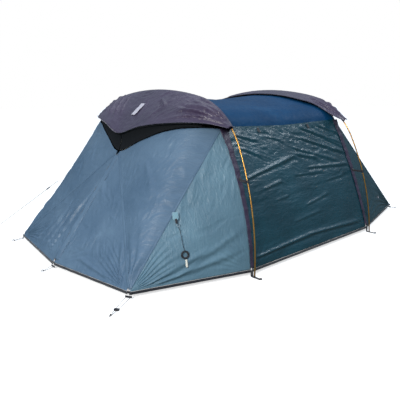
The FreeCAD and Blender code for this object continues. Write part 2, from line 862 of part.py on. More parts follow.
def rear_tab(side):
    # pale reflective tab on the rear side panel
    corner = rear_corner(side)
    edge = hoop_edge(rear_hoop, rear_leg_bulge, thirds, side, panel_setback)
    place = corner * 0.62 + edge[2] * 0.30 + edge[1] * 0.08
    out = (edge[1] - corner).cross(edge[2] - corner).normalize()
    if out.x * side < 0:
        out = out * -1
    return plate_on(place + out * 2.0, out, 10, 24, 1.5)


def brow_patch():
    # plain woven patch on the front hood, folded over its centre line
    ridge = on_hoop(front_hoop, 0, crest(0, hood_rise))
    peak = front_lip(right)[0]
    high = ridge + (peak - ridge) * 0.33 + Vector(0, 0, 4)
    low = ridge + (peak - ridge) * 0.58 + Vector(0, 0, 4)
    wide = Vector(24, 0, 1.5)
    narrow = Vector(24, 3, 5)
    cloth = strip([high - Vector(24, 0, -0.5), high, high + wide],
                  [low + Vector(-24, 3, 5), low, low + narrow])
    return folded_sheet(cloth, Vector(0, 0, 1.2))


# ---------------------------------------------------------------- pegging and guying

def corner_tab(corner, out):
    # webbing tab under a hem corner that holds both ends of the corner's cord
    across = Vector(-out.y, out.x, 0) * (corner_cord_spread + 6)
    foot = Vector(corner.x, corner.y, hem_height - binding_height - 3 - corner_tab_height) + out * 1.0
    head = foot + Vector(0, 0, corner_tab_height)
    outline = [foot - across, foot + across, head + across, head - across, foot - across]
    return Part.Face(Part.makePolygon(outline)).extrude(out * corner_tab_thickness)


def corner_cord(corner, ground, out):
    # from the tab, round the peg under its hook, and back to the tab
    across = Vector(-out.y, out.x, 0)
    loop = peg_diameter / 2 + corner_cord_diameter / 2 + 3.0
    height = hem_height - binding_height - 3 - corner_tab_height / 2
    start = Vector(corner.x, corner.y, height) + out * (2.2 + corner_tab_thickness)
    turn = Vector(ground.x, ground.y, corner_cord_diameter / 2 + 1.0) + out * loop
    return cord("corner cord", [start + across * corner_cord_spread, turn + across * loop,
                                turn - across * loop, start - across * corner_cord_spread],
                corner_cord_diameter)


def cord_lock():
    # small cord lock on the front right corner's two strands
    corner, ground, out = corner_pegs()[0]
    height = hem_height - binding_height - 3 - corner_tab_height / 2
    start = Vector(corner.x, corner.y, height) + out * (1.0 + corner_tab_thickness)
    end = Vector(ground.x, ground.y, corner_cord_diameter / 2 + 1.0)
    along = (start - end).normalize()
    across = Vector(-out.y, out.x, 0)
    up = across.cross(along)
    if up.z < 0:
        up = up * -1
    centre = end + along * 66.0

    def block(width, depth, length):
        corners = [centre + across * (sx * width / 2) + up * (sy * depth / 2) - along * (length / 2)
                   for sx, sy in ((-1, -1), (1, -1), (1, 1), (-1, 1))]
        return Part.Face(Part.makePolygon(corners + [corners[0]])).extrude(along * length)

    return block(cord_lock_width, 9.0, cord_lock_length).cut(block(cord_lock_slot, 4.2, 60))


def corner_pegs():
    # hem corner, ground point and outward direction of each peg on a corner cord
    pegs = []
    for corner, out, reach in (
            (front_corner(right), Vector(0.49, -0.87, 0), right_corner_reach),
            (door_foot, Vector(0, -1, 0), corner_reach),
            (front_corner(left), Vector(-0.49, -0.87, 0), corner_reach),
            (rear_corner(right), Vector(0.45, 0.89, 0), corner_reach),
            (rear_corner(left), Vector(-0.45, 0.89, 0), corner_reach)):
        out.normalize()
        pegs.append((corner, Vector(corner.x, corner.y, 0) + out * reach, out))
    return pegs


def guy_ends():
    # the guy runs from the ring on the left front clip to a peg outside the porch's left corner
    centre = leg_point(front_hoop, front_clip_height, left)
    reach = clip_bore / 2 + clip_wall + 2 * guy_ring_radius + guy_ring_wire + 0.5
    top = centre + Vector(0, -reach - guy_diameter / 2 - 0.2, 0)
    return top, Vector(-guy_peg_x, front_y - guy_peg_reach, 0)


def guy_frame():
    # the guy's top, its direction down to the peg, the way across, and its length
    top, ground = guy_ends()
    foot = ground + Vector(0, 0, 4.0)
    flat = Vector(foot.x - top.x, foot.y - top.y, 0).normalize()
    across = Vector(-flat.y, flat.x, 0)
    loop = peg_diameter / 2 + guy_diameter / 2 + 1.5
    foot = foot + flat * loop + across * loop
    return top, (foot - top).normalize(), across, (foot - top).Length, loop


def guy_line():
    # one cord: ring, through the runner, round the peg, and back up through the runner
    top, along, across, length, loop = guy_frame()
    turn = top + along * length
    back = turn - across * (2 * loop)
    tail = back - along * (length * (1 - guy_runner_share) + guy_tail)
    return cord("guy line", [top, turn, back, tail], guy_diameter)


def guy_runner():
    # flat slider with one hole for each strand
    top, along, across, length, loop = guy_frame()
    up = along.cross(across)
    centre = top + along * (length * guy_runner_share) - across * loop
    corners = [centre + across * (sx * 11) + along * (sy * 20) - up * 3.5
               for sx, sy in ((-1, -1), (1, -1), (1, 1), (-1, 1))]
    body = Part.Face(Part.makePolygon(corners + [corners[0]])).extrude(up * 7)
    for sign in (1, -1):
        start = centre + across * (sign * loop) - along * 30
        body = body.cut(Part.makeCylinder(guy_diameter / 2 + 0.4, 60, start, along))
    return body


def all_pegs():
    stakes = [peg(ground, out) for corner, ground, out in corner_pegs()]
    stakes += [peg(ground, out) for ground, out in foot_pegs()]
    top, ground = guy_ends()
    out = Vector(ground.x - top.x, ground.y - top.y, 0).normalize()
    return stakes + [peg(ground, out)]


# ---------------------------------------------------------------- inner tent

def inner_front_y():
    return front_y + inner_front_setback


def floor_outline():
    return [Vector(inner_floor_half_width, inner_front_y(), 0),
            Vector(inner_floor_half_width, rear_y, 0),
            Vector(inner_rear_half_width, rear_y + inner_rear_reach, 0),
            Vector(-inner_rear_half_width, rear_y + inner_rear_reach, 0),
            Vector(-inner_floor_half_width, rear_y, 0),
            Vector(-inner_floor_half_width, inner_front_y(), 0)]


def inner_outline(height):
    # the inner tent's plan at this height, from the tub to the eave
    share = height / inner_eave_height
    front_half = inner_floor_half_width + (inner_eave_half_width - inner_floor_half_width) * share
    rear_half = inner_rear_half_width + (inner_eave_half_width * 0.8 - inner_rear_half_width) * share
    rear_edge = rear_y + inner_rear_reach + (inner_roof_rear_reach - inner_rear_reach) * share
    side_edge = rear_y + (inner_roof_rear_reach - 60) * share
    return [Vector(front_half, inner_front_y(), height), Vector(front_half, side_edge, height),
            Vector(rear_half, rear_edge, height), Vector(-rear_half, rear_edge, height),
            Vector(-front_half, side_edge, height), Vector(-front_half, inner_front_y(), height)]


def groundsheet():
    outline = floor_outline()
    floor = Part.Face(Part.makePolygon(outline + [outline[0]])).extrude(Vector(0, 0, inner_fabric * 1.5))
    walls = []
    top = inner_outline(inner_tub_height)
    for i in range(6):
        if i == 5:
            push = Vector(0, inner_fabric, 0)
        else:
            j = i + 1
            run = outline[j] - outline[i]
            push = Vector(-run.y, run.x, 0).normalize() * inner_fabric
        j = (i + 1) % 6
        walls.append(folded_sheet([(outline[i], outline[j], top[i]), (outline[j], top[j], top[i])], push))
    return floor.multiFuse(walls).removeSplitter()


def inner_walls():
    low = inner_outline(inner_tub_height + 4)
    high = inner_outline(inner_eave_height)
    walls = []
    for a in range(5):
        b = a + 1
        run = low[b] - low[a]
        push = Vector(-run.y, run.x, 0).normalize() * inner_fabric
        square = pulled_in([low[a], low[b], high[b], high[a]], 5.0)
        walls.append(folded_sheet([(square[0], square[1], square[3]),
                                   (square[1], square[2], square[3])], push))
    return walls


def inner_roof():
    sections = []
    high = inner_outline(inner_eave_height)
    for y, half, crown in ((inner_front_y() + 4, inner_eave_half_width - 6, inner_crown_height),
                           (high[1].y, inner_eave_half_width - 6, inner_crown_height),
                           (high[2].y - 6, inner_eave_half_width * 0.8 - 6, inner_crown_height - 60)):
        outer = Part.Arc(Vector(half, y, inner_eave_height + 5), Vector(0, y, crown),
                         Vector(-half, y, inner_eave_height + 5)).toShape()
        inside = Part.Arc(Vector(half, y, inner_eave_height + 5 - inner_fabric),
                          Vector(0, y, crown - inner_fabric),
                          Vector(-half, y, inner_eave_height + 5 - inner_fabric)).toShape()
        sections.append(Part.Wire(Part.__sortEdges__([
            outer, inside, Part.makeLine(Vector(half, y, inner_eave_height + 5),
                                         Vector(half, y, inner_eave_height + 5 - inner_fabric)),
            Part.makeLine(Vector(-half, y, inner_eave_height + 5),
                          Vector(-half, y, inner_eave_height + 5 - inner_fabric))])))
    return Part.makeLoft(sections, True, True)


def doorway(grow, depth):
    # D-shaped opening of the inner front wall, grown outwards
    y = inner_front_y()
    half = doorway_half_width + grow
    spring = Vector(half, y - 5, doorway_spring)
    arc = Part.Arc(spring, Vector(0, y - 5, doorway_spring + half), Vector(-half, y - 5, doorway_spring))
    low = doorway_sill - grow
    edges = [arc.toShape(), Part.makeLine(Vector(-half, y - 5, doorway_spring), Vector(-half, y - 5, low)),
             Part.makeLine(Vector(-half, y - 5, low), Vector(half, y - 5, low)),
             Part.makeLine(Vector(half, y - 5, low), spring)]
    return Part.Face(Part.Wire(edges)).extrude(Vector(0, depth, 0))


def inner_front():
    y = inner_front_y()
    low = inner_outline(inner_tub_height + 4)
    foot = Vector(low[0].x - 4, y, low[0].z)
    eave = Vector(inner_eave_half_width - 4, y, inner_eave_height)
    arc = Part.Arc(eave, Vector(0, y, inner_crown_height - 6), flip(eave)).toShape()
    edges = [Part.makeLine(flip(foot), foot), Part.makeLine(foot, eave), arc,
             Part.makeLine(flip(eave), flip(foot))]
    wall = Part.Face(Part.Wire(edges)).extrude(Vector(0, inner_fabric, 0))
    return wall.cut(doorway(0, 20))


def inner_door():
    leaf = doorway(-inner_door_gap, inner_fabric)
    leaf.translate(Vector(0, 5, 0))
    return leaf.cut(doorway(-inner_mesh_margin, 20))


def inner_door_mesh():
    leaf = doorway(-inner_mesh_margin - 0.2, mesh_thickness)
    leaf.translate(Vector(0, 5, 0))
    return leaf


def inner_zip():
    # zip tape round the doorway, on the wall's porch side
    tape = doorway(9, 1.0)
    tape.translate(Vector(0, 3.5, 0))
    return tape.cut(doorway(1, 20))


def inner_slider():
    y = inner_front_y()
    return Part.makeBox(9, 5, 22, Vector(doorway_half_width, y - 7, doorway_spring - 30))


def crossing(shape, x, y):
    # heights at which the upright line through x, y enters and leaves the shape
    line = Part.makeLine(Vector(x, y, 0), Vector(x, y, 2000))
    heights = [vertex.Z for vertex in line.common(shape).Vertexes]
    return min(heights), max(heights)


def inner_hangers(inner, outer):
    # short cords that hold the inner tent up under the fly
    links = []
    for y in (inner_front_y() + 60, 0.0, rear_y - 330):
        for x in (-420, 0, 420):
            low = crossing(inner, x, y)[1] + 1.5
            high = crossing(outer, x, y)[0] - 1.5
            links.append(Part.makeCylinder(hanger_diameter / 2, high - low, Vector(x, y, low)))
    return links


def lantern_loop():
    base = Vector(0, -120, inner_crown_height - inner_fabric - 17)
    return ring_at(base, Vector(1, 0, 0), 14, 3)


# ---------------------------------------------------------------- files

nodes = {}


def keep(name, *shapes):
    solids = [solid for shape in shapes for solid in shape.Solids]
    nodes[name] = Part.makeCompound(solids)


def both(make):
    return [make(right), make(left)]


def build_fly():
    keep("fly_roof", fly_roof())
    keep("fly_walls", *both(fly_wall))
    keep("porch_sides", *both(porch_side))
    keep("front_panels", *both(front_panel))
    keep("rear_panel", rear_panel())
    keep("rear_sides", *both(rear_side))
    keep("front_hood", front_hood())
    keep("front_lip_rod", lip_rod())
    keep("rear_hood", rear_hood())
    keep("vent_meshes", *both(front_vent_mesh), *both(rear_vent_mesh))
    keep("brow_patch", brow_patch())


def build_doors():
    for side, name in ((right, "right"), (left, "left")):
        keep("door_leaf_" + name, door_leaf(side))
        keep("door_hem_" + name, leaf_hem(side))
        keep("door_zip_" + name, zip_chain(side))
    keep("storm_flap", storm_flap())
    keep("door_zip_slider", door_slider(), door_puller())


def build_poles():
    tubes = []
    ferrules = []
    elastics = []
    for hoop in (front_hoop, rear_hoop):
        sections, joints, elastic = poles(hoop)
        tubes += sections
        ferrules += joints
        elastics.append(elastic)
    keep("pole_tubes", *tubes)
    keep("pole_ferrules", *ferrules)
    keep("shock_cords", *elastics)
    keep("pole_tips", *both_hoops(pole_tip))
    keep("pole_sleeves", pole_sleeve(front_hoop), pole_sleeve(rear_hoop))


def both_hoops(make):
    return [make(hoop, side) for hoop in (front_hoop, rear_hoop) for side in (right, left)]


def build_straps():
    legs = ((front_hoop, front_leg_bulge, front_clip_height), (rear_hoop, rear_leg_bulge, rear_clip_height))
    places = [(hoop, bulge, height, side) for hoop, bulge, height in legs for side in (right, left)]
    keep("leg_bands", *[leg_band(hoop, bulge, side) for hoop, bulge, height, side in places])
    keep("pole_clips", *[pole_clip(hoop, height, side) for hoop, bulge, height, side in places],
         *both(clip_ring))
    keep("clip_straps", *[clip_strap(*place) for place in places])
    keep("hem_binding", *body_hem())
    keep("foot_straps", *[foot_strap(y, side) for y in (front_y, rear_y) for side in (right, left)])
    keep("eyelets", *[eyelet(y, side) for y in (front_y, rear_y) for side in (right, left)])
    keep("fly_tabs", *[eave_tab(y, side) for y in (-368.0, 341.0) for side in (right, left)],
         *both(rear_tab))


def build_guys():
    keep("pegs", *all_pegs())
    keep("corner_tabs", *[corner_tab(corner, out) for corner, ground, out in corner_pegs()])
    names = ("front_right", "front_centre", "front_left", "rear_right", "rear_left")
    for name, place in zip(names, corner_pegs()):
        keep("cord_" + name, corner_cord(*place))
    keep("cord_lock", cord_lock())
    keep("guy_line", guy_line())
    keep("guy_runner", guy_runner())
    keep("storm_patches", *both(storm_patch), *both(storm_loop))
    for side, name in ((right, "right"), (left, "left")):
        keep("storm_ring_" + name, storm_ring(side))
        keep("storm_cord_" + name, storm_cord(side))
        keep("storm_hank_" + name, storm_hank(side))
        keep("storm_toggle_" + name, storm_toggle(side))


def build_inner():
    keep("groundsheet", groundsheet())
    keep("inner_walls", *inner_walls())
    keep("inner_front", inner_front())
    keep("inner_door", inner_door())
    keep("inner_door_mesh", inner_door_mesh())
    keep("inner_zip", inner_zip())
    keep("inner_zip_slider", inner_slider())
    keep("inner_roof", inner_roof())
    keep("inner_hangers", *inner_hangers(nodes["inner_roof"], nodes["fly_roof"]), lantern_loop())


def main():
    os.makedirs("parts", exist_ok=True)
    build_fly()
    build_doors()
    build_poles()
    build_straps()
    build_guys()
    build_inner()
    for name, shape in nodes.items():
        shape.exportStep("parts/" + name + ".step")
        print(name, len(shape.Solids), round(shape.Volume / 1000, 1), "cm3", shape.isValid())
    print("nodes", len(nodes))


main()
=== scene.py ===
import math
import bmesh
import bpy
import numpy as np
from mathutils import Matrix, Vector, noise


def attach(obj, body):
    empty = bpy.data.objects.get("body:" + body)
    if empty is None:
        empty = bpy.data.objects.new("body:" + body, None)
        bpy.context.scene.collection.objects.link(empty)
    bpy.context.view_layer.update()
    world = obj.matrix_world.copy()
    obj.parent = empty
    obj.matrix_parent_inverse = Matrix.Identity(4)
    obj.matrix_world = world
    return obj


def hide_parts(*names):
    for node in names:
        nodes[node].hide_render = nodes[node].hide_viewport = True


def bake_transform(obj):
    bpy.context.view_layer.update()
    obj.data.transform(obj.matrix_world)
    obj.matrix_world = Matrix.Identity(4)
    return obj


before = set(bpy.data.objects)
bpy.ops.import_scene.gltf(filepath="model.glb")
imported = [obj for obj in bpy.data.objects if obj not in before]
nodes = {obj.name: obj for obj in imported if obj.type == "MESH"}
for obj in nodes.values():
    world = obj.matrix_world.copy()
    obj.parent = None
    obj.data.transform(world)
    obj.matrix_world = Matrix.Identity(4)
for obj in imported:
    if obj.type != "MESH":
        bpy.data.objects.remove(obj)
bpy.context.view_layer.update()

# Tunnel tent on two outside poles, metres, +Z up, porch towards -Y, right-hand side +X.
scene = bpy.context.scene

# ---- camera, lights and floor

cameraPlace = {"spot": (3.0899, -3.1014, 1.2588), "turn": 2.4036, "tilt": -0.2296,
               "roll": -0.0029, "lens": 42.234, "sensor": 36.0}


def makeCamera(place):
    turn, tilt, roll = place["turn"], place["tilt"], place["roll"]
    ahead = Vector((math.cos(tilt) * math.cos(turn), math.cos(tilt) * math.sin(turn), math.sin(tilt)))
    level = ahead.cross(Vector((0, 0, 1))).normalized()
    side = level * math.cos(roll) + level.cross(ahead) * math.sin(roll)
    above = side.cross(ahead)
    data = bpy.data.cameras.new("tentCamera")
    data.lens, data.sensor_width = place["lens"], place["sensor"]
    camera = bpy.data.objects.new("tentCamera", data)
    scene.collection.objects.link(camera)
    turned = Matrix((side, above, -ahead)).transposed().to_4x4()
    camera.matrix_world = Matrix.Translation(place["spot"]) @ turned
    scene.camera = camera


lightAim = Vector((0, 0, 0.5))
softLights = {
    "keyFront": {"spot": (3.9, -6.9, 3.9), "size": 2.4, "power": 470, "tint": (1.0, 0.98, 0.95)},
    "skyOver": {"spot": (-1.6, 1.5, 6.6), "size": 4.0, "power": 60, "tint": (0.90, 0.95, 1.0)},
    "sideSheen": {"spot": (2.9, 5.1, 6.0), "size": 1.4, "power": 95, "tint": (0.90, 0.96, 1.0)},
}


def makeLights(lights):
    for name, light in lights.items():
        data = bpy.data.lights.new(name, "AREA")
        data.shape, data.size = "DISK", light["size"]
        data.energy, data.color = light["power"], light["tint"]
        lamp = bpy.data.objects.new(name, data)
        scene.collection.objects.link(lamp)
        lamp.location = light["spot"]
        aim = lightAim - lamp.location
        lamp.rotation_euler = aim.to_track_quat("-Z", "Y").to_euler()


def makeSky(tones):
    # a white backdrop to look at; the cloth is lit by a sky, bright overhead and dim low down
    world = bpy.data.worlds.new("paleSky")
    world.use_nodes = True
    sky = world.node_tree
    dome = sky.nodes["Background"]
    dome.inputs["Strength"].default_value = 1.0
    way = addNode(world, "ShaderNodeTexCoord").outputs["Generated"]
    height = addNode(world, "ShaderNodeSeparateXYZ", {}, {"Vector": way}).outputs["Z"]
    shade = ramp(world, height, tones)
    plain = addNode(world, "ShaderNodeBackground", {"Color": grey(1.0), "Strength": 1.0})
    seen = addNode(world, "ShaderNodeLightPath").outputs["Is Camera Ray"]
    mix = addNode(world, "ShaderNodeMixShader", {}, {0: seen, 1: dome.outputs[0], 2: plain.outputs[0]})
    sky.links.new(shade, dome.inputs["Color"])
    sky.links.new(mix.outputs[0], sky.nodes["World Output"].inputs["Surface"])
    scene.world = world
    scene.view_settings.view_transform = "Standard"


# ---- materials

def hexColour(code):
    parts = [int(code[i:i + 2], 16) / 255 for i in (1, 3, 5)]
    return tuple(p / 12.92 if p <= 0.04045 else ((p + 0.055) / 1.055) ** 2.4 for p in parts) + (1.0,)


def grey(value):
    return (value, value, value, 1.0)


def addNode(material, kind, settings=(), links=()):
    node = material.node_tree.nodes.new(kind)
    for name, value in dict(settings).items():
        if isinstance(name, int) or name in node.inputs:
            node.inputs[name].default_value = value
        else:
            setattr(node, name, value)
    for name, source in dict(links).items():
        material.node_tree.links.new(source, node.inputs[name])
    return node


def startMaterial(name, shading):
    material = bpy.data.materials.new(name)
    material.use_nodes = True
    shader = material.node_tree.nodes["Principled BSDF"]
    for socket, value in shading.items():
        shader.inputs[socket].default_value = value
    return material, shader


def feed(material, shader, **outputs):
    # joins node outputs to the shader, with "_" for a space in the socket's name
    for socket, output in outputs.items():
        material.node_tree.links.new(output, shader.inputs[socket.replace("_", " ")])
    return material


def ramp(material, source, stops, interpolation="LINEAR"):
    # each stop is a place and a tone, a hex code or a grey from 0 to 1
    node = addNode(material, "ShaderNodeValToRGB", {}, {"Fac": source})
    node.color_ramp.interpolation = interpolation
    while len(node.color_ramp.elements) < len(stops):
        node.color_ramp.elements.new(0.5)
    for element, (place, tone) in zip(node.color_ramp.elements, stops):
        element.position = place
        element.color = hexColour(tone) if isinstance(tone, str) else grey(tone)
    return node.outputs["Color"]


def cloudy(material, place, scale, detail, **more):
    settings = {"Scale": scale, "Detail": detail, **more}
    return addNode(material, "ShaderNodeTexNoise", settings, {"Vector": place}).outputs["Fac"]


wavePitch = 0.314   # a wave node's scale times the distance between its bands


def waves(material, place, pitch, **more):
    settings = {"Scale": wavePitch / pitch, **more}
    return addNode(material, "ShaderNodeTexWave", settings, {"Vector": place}).outputs["Fac"]


def stretched(material, place, **more):
    return addNode(material, "ShaderNodeMapping", more, {"Vector": place}).outputs["Vector"]


def combined(material, operation, first, second):
    return addNode(material, "ShaderNodeMath", {"operation": operation}, {0: first, 1: second}).outputs["Value"]


def mixed(material, blend, share, first, second):
    # each part is a node's output or a plain value
    settings, links = {"data_type": "RGBA", "blend_type": blend}, {}
    for socket, part in ((0, share), (6, first), (7, second)):
        (links if isinstance(part, bpy.types.NodeSocket) else settings)[socket] = part
    return addNode(material, "ShaderNodeMix", settings, links).outputs[2]


def bump(material, strength, distance, height, **more):
    settings = {"Strength": strength, "Distance": distance}
    return addNode(material, "ShaderNodeBump", settings, {"Height": height, **more}).outputs["Normal"]


def surfaceCoordinates(material, flat):
    # flat pieces carry their own UV map in metres, hard pieces use their place
    if flat:
        return addNode(material, "ShaderNodeUVMap", {"uv_map": "flat"}).outputs["UV"]
    return addNode(material, "ShaderNodeTexCoord").outputs["Object"]


# threads are about 0.3 mm in the real cloth and drawn at 2 mm, the finest that can show
plainCloth = {"coat": 0.0, "sheen": 0.0, "crumple": 0.035, "crease": 0.4, "thread": 0.002, "flat": True}


def clothMaterial(name, changes):
    # woven thread fused with a thin coating: soft broken gloss over fine cross threads
    look = {**plainCloth, **changes}
    material, shader = startMaterial(name, {"IOR": 1.5, "Coat Weight": look["coat"], "Coat Roughness": 0.38,
                                            "Sheen Weight": look["sheen"], "Specular IOR Level": look["shine"]})
    place = surfaceCoordinates(material, look["flat"])
    crumple = cloudy(material, place, 1 / look["crumple"], 4.0, Roughness=0.55, Distortion=0.6)
    tone = ramp(material, cloudy(material, place, 2.4, 5.0, Roughness=0.6),
                [(0.30, look["dark"]), (0.55, look["base"]), (0.80, look["light"])])
    specks = ramp(material, cloudy(material, place, 95.0, 3.0), [(0.3, 0.72), (0.7, 1.0)])
    rough = ramp(material, crumple, [(0.25, look["roughness"] - 0.09), (0.75, look["roughness"] + 0.10)])
    threads = [waves(material, place, look["thread"], bands_direction=way, Distortion=0.0, Detail=0.0)
               for way in ("X", "Y")]
    # short drawn creases, lying along the pull of the cloth
    pulled = cloudy(material, stretched(material, place, Scale=look["pull"]), 1.0, 2.0, Roughness=0.5, Distortion=0.5)
    crests = ramp(material, pulled, [(0.40, 0.0), (0.50, 1.0), (0.60, 0.0)], "EASE")
    soft = bump(material, look["crease"], 0.004, crumple)
    creased = bump(material, look["drawn"], 0.004, crests, Normal=soft)
    fine = bump(material, 0.22, 0.0006, combined(material, "MAXIMUM", *threads), Normal=creased)
    return feed(material, shader, Base_Color=mixed(material, "MULTIPLY", 0.30, tone, specks), Roughness=rough,
                Normal=fine)


def meshMaterial(name, look):
    # knitted insect net: yarn painted near-black for the shade the net hangs in, round small round holes painted as
    # darker dots for the shade behind them
    material, shader = startMaterial(name, {"Roughness": 0.85, "IOR": 1.35})
    place = surfaceCoordinates(material, True)
    holes = addNode(material, "ShaderNodeTexVoronoi", {"Scale": 1 / look["hole"], "Randomness": 0.15},
                    {"Vector": place}).outputs["Distance"]
    yarn = ramp(material, holes, [(0.18, look["dark"]), (0.42, look["base"])])
    drift = ramp(material, cloudy(material, place, 9.0, 3.0), [(0.35, 0.6), (0.7, 1.0)])
    return feed(material, shader, Base_Color=mixed(material, "MULTIPLY", 0.5, yarn, drift),
                Normal=bump(material, 0.5, 0.0008, holes))


def webbingMaterial(name, look):
    # flat woven strap: ribs across its length, twill along it, painted shade in the low grooves of the weave, fuzz at
    # the edges
    material, shader = startMaterial(name, {"Roughness": look["roughness"], "IOR": 1.5, "Sheen Weight": 0.35})
    place = surfaceCoordinates(material, True)
    ribs = waves(material, place, look["rib"], bands_direction="Y", Distortion=1.2, Detail=1.0,
                 **{"Detail Scale": 2.0})
    twill = waves(material, place, look["rib"] / 0.7, bands_direction="DIAGONAL", Distortion=0.0)
    both = combined(material, "MULTIPLY", ribs, twill)
    # painted shade: the dark tone fills the low grooves between the ribs
    tone = ramp(material, both, [(0.05, look["dark"]), (0.6, look["base"])])
    fuzz = ramp(material, cloudy(material, place, 260.0, 4.0), [(0.55, 0.0), (0.8, 0.35)])
    return feed(material, shader, Base_Color=mixed(material, "MIX", fuzz, tone, hexColour(look["dust"])),
                Normal=bump(material, 0.6, 0.0008, both))


def metalMaterial(name, look):
    # drawn metal: fine streaks and small dull scuffs break up a satin gloss
    material, shader = startMaterial(name, {"Metallic": 1.0})
    place = surfaceCoordinates(material, False)
    streaks = cloudy(material, stretched(material, place, Scale=(900.0, 900.0, 40.0)), 1.0, 2.0)
    scuffs = cloudy(material, place, 38.0, 6.0, Roughness=0.65)
    return feed(material, shader, Base_Color=ramp(material, scuffs, [(0.32, look["dark"]), (0.58, look["base"])]),
                Roughness=ramp(material, scuffs, [(0.35, look["roughness"] + 0.16), (0.6, look["roughness"])]),
                Normal=bump(material, 0.12, 0.0003, streaks))


def plasticMaterial(name, look):
    # moulded nylon: spark-eroded grain, a little paler where handling has rubbed it
    material, shader = startMaterial(name, {"Roughness": look["roughness"], "IOR": 1.52})
    place = surfaceCoordinates(material, False)
    rub = cloudy(material, place, 60.0, 4.0)
    return feed(material, shader, Base_Color=ramp(material, rub, [(0.35, look["base"]), (0.75, look["light"])]),
                Normal=bump(material, 0.25, 0.0003, cloudy(material, place, 1 / 0.0012, 2.0)))


def braidMaterial(name, look):
    # braided polyester cord: crossing diagonal strands, with painted shade darkening the gaps between them
    material, shader = startMaterial(name, {"Roughness": 0.7, "IOR": 1.5, "Sheen Weight": 0.25})
    place = surfaceCoordinates(material, False)
    strands = [waves(material, stretched(material, place, Rotation=(lean, lean, 0.6)), look["strand"], Distortion=0.4)
               for lean in (0.8, -0.8)]
    weave = combined(material, "MAXIMUM", *strands)
    # painted shade: the low gaps between the strands take the dark tone
    return feed(material, shader, Base_Color=ramp(material, weave, [(0.3, look["dark"]), (0.8, look["base"])]),
                Normal=bump(material, 0.7, 0.0005, weave))


